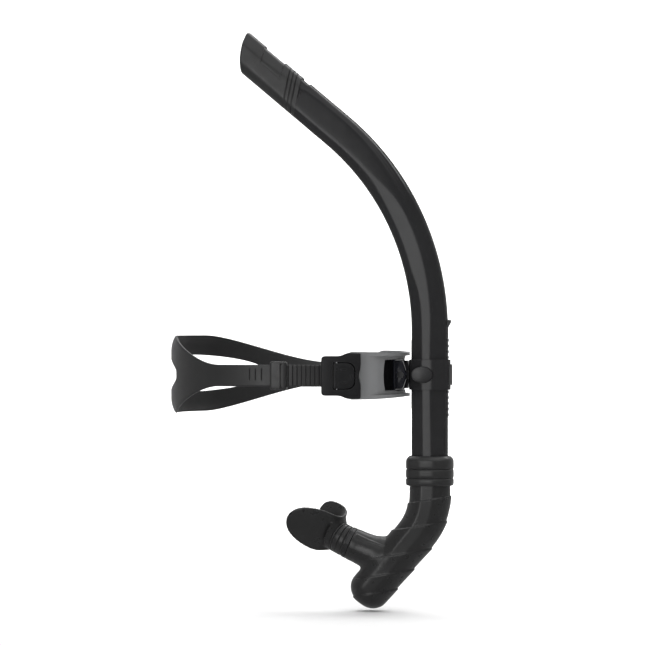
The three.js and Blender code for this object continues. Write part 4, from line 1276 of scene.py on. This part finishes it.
def frame_grid(name, outline, inner, outer, step=1.2, rise=0.0, flare=1.0):
    """A plate bent along the frame's route from a flat outline; its outer face may rise and be taller."""
    work = bmesh.new()
    ring = [work.verts.new((s, z, 0)) for s, z in outline]
    face = work.faces.new(ring)
    bmesh.ops.triangulate(work, faces=[face])
    for s in np.arange(step, FRAME_ROUTE.length, step):
        geometry = list(work.verts) + list(work.edges) + list(work.faces)
        bmesh.ops.bisect_plane(work, geom=geometry, plane_co=(s, 0, 0), plane_no=(1, 0, 0), dist=1e-4)
    extruded = bmesh.ops.extrude_face_region(work, geom=list(work.faces))
    for item in extruded["geom"]:
        if isinstance(item, bmesh.types.BMVert):
            item.co.z = 1
    for v in work.verts:
        out = outer + rise * lip_share(v.co.x) if v.co.z > 0.5 else inner
        up = v.co.y * (flare if v.co.z > 0.5 else 1)
        v.co = Vector(top_point(FRAME_ROUTE, up, out, v.co.x)) * MM
    mesh = bpy.data.meshes.new(name)
    work.to_mesh(mesh)
    work.free()
    finish_mesh(mesh, 35)
    return linked(name, mesh)


def lip_share(s):
    """How much of a lip's full rise it has: none at the frame's corners, all along its middle."""
    from_end = min(s, FRAME_ROUTE.length - s)
    return smooth((from_end - LIP_START) / LIP_RUN)


def frame_outline(half_heights):
    """The plate's outline from (distance, half height) stations."""
    upper = [(s, h) for s, h in half_heights]
    lower = [(s, -h) for s, h in half_heights[::-1]]
    return upper + lower


def window_outline(grow=0.0):
    """The window: straight top and bottom, with a shallow cusp in each end."""
    middle = FRAME_ROUTE.length / 2
    half = WINDOW_HALF + grow
    height = WINDOW_HALF_HEIGHT + grow
    right = [(half + out, height * share) for out, share in WINDOW_END]
    return [(middle + s, z) for s, z in right] + [(middle - s, z) for s, z in right[::-1]]


def bracket():
    """The grey frame: a bent plate with raised lips above and below its window."""
    length = FRAME_ROUTE.length
    high = FRAME_HALF_HEIGHT
    half = FRAME_THICK / 2
    plate = frame_grid("bracket_grey", frame_outline([
        (0, high - 1.2), (4, high), (length * 0.5, high - 0.9), (length - 4, high), (length, high - 1.2),
    ]), -half, half)
    for side in (1, -1):
        drops = (
            (LIP_START, 0.4), (length / 2, 1.3), (length - LIP_START, 0.4),
            (length - LIP_START, 3.0), (length / 2, 3.6), (LIP_START, 3.0),
        )
        outline = [(s, side * (high - drop)) for s, drop in drops]
        lip = frame_grid("lip", outline, -half + 0.4, half + 0.02, rise=LIP_RISE)
        combine(plate, [lip], "UNION")
    window = frame_grid("window", window_outline(), -half - 4, half + 4, 3)
    front = half + LIP_RISE + 0.4
    bevel = frame_grid("bevel", window_outline(-0.3), 0.3 - half, front, 3, flare=WINDOW_FLARE)
    combine(plate, [window, bevel], "DIFFERENCE")
    return rounded(plate, 0.4, 2)


def pad():
    """The soft forehead pad: a crowned strip with rounded rims behind the frame."""
    face = -FRAME_THICK / 2 - 0.35
    thick = FRAME_FRONT - FRAME_THICK - 0.3 - 0.1
    half_height = box_mm("forehead_pad")[1][2] - 0.1
    finish = FRAME_ROUTE.length - PAD_START
    rings = []
    for s in np.linspace(PAD_START, finish, 110):
        squeeze = 1 - 0.35 * max(0, 1 - min(s - PAD_START, finish - s) / 5) ** 2
        ring = []
        for turn in turns(36):
            z = half_height * squeeze * squared(math.cos(turn), PAD_SQUARE)
            depth = (thick / 2) * squeeze * squared(math.sin(turn), PAD_CROWN)
            ring.append(top_point(FRAME_ROUTE, z, face - thick / 2 + depth, s))
        rings.append(ring)
    return loft("pad_soft", rings, crease=50)


# ---- Buckles ----

def arm_prism(name, outline, low, high):
    """A prism on the far arm from a closed outline of (along, up) points."""
    rings = [[on_arm(along, up, out) for along, up in outline] for out in (low, high)]
    return loft(name, rings)


def round_corners(points, radii, steps=6):
    """A closed outline whose corners are rounded, each by its own radius."""
    result = []
    count = len(points)
    for i, radius in enumerate(radii):
        here = np.array(points[i], float)
        before = np.array(points[i - 1], float) - here
        after = np.array(points[(i + 1) % count], float) - here
        before /= np.linalg.norm(before)
        after /= np.linalg.norm(after)
        for t in np.linspace(0, 1, steps):
            a = here + before * radius * (1 - t)
            b = here + after * radius * t
            result.append(tuple(a * (1 - t) + b * t))
    return result


def lever_outline(grow):
    """The lever's U shape, grown or shrunk."""
    front = LEVER_REAR - LEVER_LENGTH - grow
    half = LEVER_HALF + grow
    return round_corners(
        [(LEVER_REAR + grow, -half), (front, -half), (front, half), (LEVER_REAR + grow, half)],
        [0.4, 7, 7, 0.4],
        9,
    )


def buckle():
    """The strap buckle: a rounded housing with a flared root, cut for its lever."""
    front = BUCKLE_REAR - BUCKLE_LENGTH
    side = [
        (BUCKLE_REAR, BUCKLE_HALF, 3), (SHOULDER_END, BUCKLE_HALF, 2), (SHOULDER_START, BUCKLE_ROOT, 2),
        (front, BUCKLE_ROOT - 0.3, 1), (front - 0.1, 6, 3),
    ]
    corners = [(along, -up, radius) for along, up, radius in side] + [(front + 1.6, 0, 3)] + side[::-1]
    outline = round_corners([corner[:2] for corner in corners], [corner[2] for corner in corners])
    body = arm_prism("buckle_far", outline, SKIN_GAP, BUCKLE_DEPTH - 0.1)
    rounded(body, 0.9, 3, 50)
    cavity = arm_prism("cavity", [
        (front + 2, -CAVITY_HALF), (BUCKLE_REAR + 5, -CAVITY_HALF),
        (BUCKLE_REAR + 5, CAVITY_HALF), (front + 2, CAVITY_HALF),
    ], BUCKLE_WALL, BUCKLE_DEPTH - BUCKLE_WALL)
    window = arm_prism("window", lever_outline(0.5), BUCKLE_DEPTH - BUCKLE_WALL - 1, BUCKLE_DEPTH + 2)
    combine(body, [cavity, window], "DIFFERENCE")
    finish_mesh(body.data, 35)
    return body


def lever():
    """The U-shaped press lever with a dot, two dashes and two short uprights."""
    low = BUCKLE_DEPTH - BUCKLE_WALL + 0.05
    body = arm_prism("lever_far", lever_outline(-0.3), low, BUCKLE_DEPTH - LEVER_SUNK)
    rounded(body, 0.35, 2, 50)
    cuts = [lever_mark(LEVER_REAR - back, *mark) for back, *mark in LEVER_MARKS]
    combine(body, cuts, "DIFFERENCE")
    finish_mesh(body.data, 35)
    return body


def lever_mark(along, up, half_length, half_height, deep):
    """A round-ended pocket in the lever's face, as a cutter."""
    corner = min(half_length, half_height) * 0.9
    outline = round_corners([
        (along - half_length, up - half_height), (along + half_length, up - half_height),
        (along + half_length, up + half_height), (along - half_length, up + half_height),
    ], [corner] * 4)
    return arm_prism("mark", outline, BUCKLE_DEPTH - LEVER_SUNK - deep, BUCKLE_DEPTH + 1)


# ---- Clip ----

def block(name, low, high):
    """A box between two corners."""
    outline = [(low[0], low[1]), (high[0], low[1]), (high[0], high[1]), (low[0], high[1])]
    return loft(name, [[(x, y, z) for x, y in outline] for z in (low[2], high[2])])


def tube_clip():
    """The clip's band with its lug, cut for the tube, rail, rack, latch, pin and badges."""
    band = loft("clip_band", [clip_ring(share) for share in (-1, -0.985, 0.985, 1)])
    combine(band, [round_lug("lug", TILT_X, LUG_RADIUS, LUG_HALF, CLIP_REAR + 1)], "UNION")
    hole = tube_outline(TUBE_WIDTH + CLIP_PLAY, TUBE_DEPTH + CLIP_PLAY)
    cuts = [loft("tube_hole", [level_ring(hole, -30), level_ring(hole, 30)])]
    cuts += [block("way", low, high) for low, high in CLIP_WAYS]
    cuts.append(round_y("pin_way", TILT_X, PIN_BORE, -20, 20))
    cuts += [badge_disc("seat", side, BADGE_PLAY) for side in (1, -1)]
    combine(band, cuts, "DIFFERENCE")
    finish_mesh(band.data, 35)
    return band


def clip_ring(share):
    """One ring of the band: the tube's own outline grown outward, with a narrow bevel at its two edges."""
    pull = CLIP_BEVEL if abs(share) == 1 else 0
    ring = []
    for across, depth in tube_outline(CLIP_HIGH[1] - pull, TUBE_DEPTH + CLIP_WALL):
        x = min(CLIP_HIGH[0] - pull, max(CLIP_REAR + pull, TUBE_X - depth))
        ring.append((x, across, share * (CLIP_HIGH[2] - SKIN_GAP)))
    return ring


def round_y(name, x, radius, low, high):
    """A round bar along Y."""
    return loft(name, [
        [(x + radius * math.cos(turn), y, radius * math.sin(turn)) for turn in turns(40)]
        for y in (low, high)
    ])


def round_lug(name, x, radius, half_width, root):
    """The hinge lug: round at its pivot, straight back to the band."""
    outline = [(root, -radius), (root, radius)]
    for j in range(17):
        turn = math.pi / 2 + math.pi * j / 16
        outline.append((x + radius * math.cos(turn), radius * math.sin(turn)))
    rings = [[(px, y, pz) for px, pz in outline] for y in (-half_width, half_width)]
    return loft(name, rings)


def badge_disc(name, side, grow=0.0):
    """An oval disc in one side of the clip, or the cutter for its seat when it is grown."""
    low, high = box_mm("clip_badge_far")
    centre = (low[0] + high[0]) / 2
    half_x = (high[0] - low[0]) / 2 + grow - SKIN_GAP
    half_z = high[2] + grow - SKIN_GAP
    if grow:
        profile = [(low[1] - grow, 1), (high[1] + 2, 1)]
    else:
        profile = [(low[1], 1), (high[1] - 0.45, 1), (high[1] - 0.12, 0.975), (high[1] - 0.02, 0.93)]
    rings = []
    for y, scale in profile:
        rings.append([
            (centre + half_x * scale * math.cos(t), side * y, half_z * scale * math.sin(t))
            for t in np.linspace(0, 2 * math.pi, 49)[:-1]
        ])
    return loft(name, rings, crease=30)


def clip_base():
    """The smoky block in the window: a plate with two ears and a waisted front."""
    rear = box_mm("clip_base")[0][0] + SKIN_GAP
    width = BASE_HALF_WIDTH
    height = BASE_HALF_HEIGHT
    plate = block("clip_base_smoke", (rear, -width, -height), (BASE_FRONT, width, height))
    rounded(plate, 0.6)
    near, far = EAR_REACH
    ears = []
    for low, high in ((near, far), (-far, -near)):
        ear = loft("ear", [[(x, y, z) for x, z in EAR_OUTLINE] for y in (low, high)])
        ears.append(rounded(ear, 0.5))
    combine(plate, ears, "UNION")
    combine(plate, [round_y("pin_way", TILT_X, PIN_BORE, -20, 20)], "DIFFERENCE")
    finish_mesh(plate.data, 35)
    return plate


# ---- Assembly ----

place(tube_shell(), "tube_body", "gloss_black", "tube")
place(tip_cap(), "tube_body", "silicone", "tip_cap")
place(collar(), "tube_body", "silicone", "collar")
place(elbow(), "tube_body", "elbow_silicone", "elbow_sleeve")

neck = bellows()
neck.data.materials.append(LOOKS["elbow_silicone"])
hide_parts("neck_bellows")
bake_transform(neck)
place(mouthpiece(), "mouth", "elbow_silicone", "mouthpiece")

place(strap(), "harness", "silicone", "strap")
place(keeper(), "keeper", "silicone", "strap_keeper")
place(bracket(), "harness", "grey_plastic", "bracket_frame")
forehead = pad()
place(forehead, "harness", "soft_pad", "forehead_pad")
place(clip_base(), "harness", "smoke_plastic", "clip_base")

far_buckle = buckle()
near_buckle = mirrored(far_buckle, "buckle_near")
far_lever = lever()
near_lever = mirrored(far_lever, "lever_near")
place(far_buckle, "harness", "buckle_plastic", "buckle_housing_far")
place(near_buckle, "harness", "buckle_plastic", "buckle_housing_near")
place(far_lever, "lever_far", "buckle_plastic", "release_lever_far")
place(near_lever, "lever_near", "buckle_plastic", "release_lever_near")

place(tube_clip(), "clip", "gloss_black", "tube_clip")
for side, end in ((1, "far"), (-1, "near")):
    place(badge_disc(f"badge_{end}", side), "clip", "black_plastic", f"clip_badge_{end}")

for look, names in KEPT_NODES.items():
    for name in names:
        node = frame["nodes"][name]
        node.data.materials.clear()
        node.data.materials.append(LOOKS[look])
        soften = node.modifiers.new("round", "BEVEL")
        soften.width = 0.15 * MM
        soften.segments = 2
        soften.limit_method = "ANGLE"
        soften.angle_limit = math.radians(40)


# ---- Studio ----

def studio_surface():
    """The matt white of the floor and the wall."""
    return Surface("studio_white", (0.93, 0.93, 0.93), 0.8, 0.01, specular=0.1).material


def backdrop(floor_z):
    """A pale floor that curves up behind the object."""
    profile = [(-FLOOR_REACH, floor_z), (FLOOR_BACK, floor_z)]
    for step in range(1, 17):
        turn = math.pi / 2 * step / 16
        y = FLOOR_BACK + BACKDROP_TURN * math.sin(turn)
        profile.append((y, floor_z + BACKDROP_TURN * (1 - math.cos(turn))))
    profile.append((FLOOR_BACK + BACKDROP_TURN, floor_z + BACKDROP_HEIGHT))
    points = [(x, y, z) for y, z in profile for x in (-FLOOR_REACH, FLOOR_REACH)]
    faces = [(2 * i, 2 * i + 1, 2 * i + 3, 2 * i + 2) for i in range(len(profile) - 1)]
    sheet = mesh_object("studio_floor", np.array(points) / MM, faces, 60)
    sheet.data.materials.append(studio_surface())
    sheet.visible_glossy = False
    sheet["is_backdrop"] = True


def area_light(name, place_at, aim, power, width, height):
    """A rectangular lamp that faces a point."""
    light = bpy.data.lights.new(name, "AREA")
    light.shape = "RECTANGLE"
    light.size = width
    light.size_y = height
    light.energy = power
    lamp = linked(name, light)
    lamp.location = place_at
    lamp.rotation_euler = (Vector(aim) - Vector(place_at)).to_track_quat("-Z", "Y").to_euler()


def camera():
    """The camera at the photograph's angle: level, a little to the object's front."""
    lens = bpy.data.cameras.new("camera")
    lens.sensor_width = 36
    lens.lens = CAMERA_LENS
    view = linked("camera", lens)
    away = Vector((math.sin(CAMERA_AZIMUTH), -math.cos(CAMERA_AZIMUTH), 0))
    view.location = Vector(CAMERA_AIM) + away * CAMERA_DISTANCE
    view.rotation_euler = (math.radians(90), 0, CAMERA_AZIMUTH)
    bpy.context.scene.camera = view


def studio():
    """The backdrop, the lamps and an even white world."""
    backdrop(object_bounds()[0][2] - FLOOR_GAP)
    for lamp in LAMPS:
        area_light(*lamp)
    bpy.context.scene.view_settings.view_transform = "Standard"
    world = bpy.data.worlds.new("studio")
    world.use_nodes = True
    world.node_tree.nodes["Background"].inputs["Color"].default_value = (1, 1, 1, 1)
    world.node_tree.nodes["Background"].inputs["Strength"].default_value = WORLD_STRENGTH
    bpy.context.scene.world = world


camera()
studio()
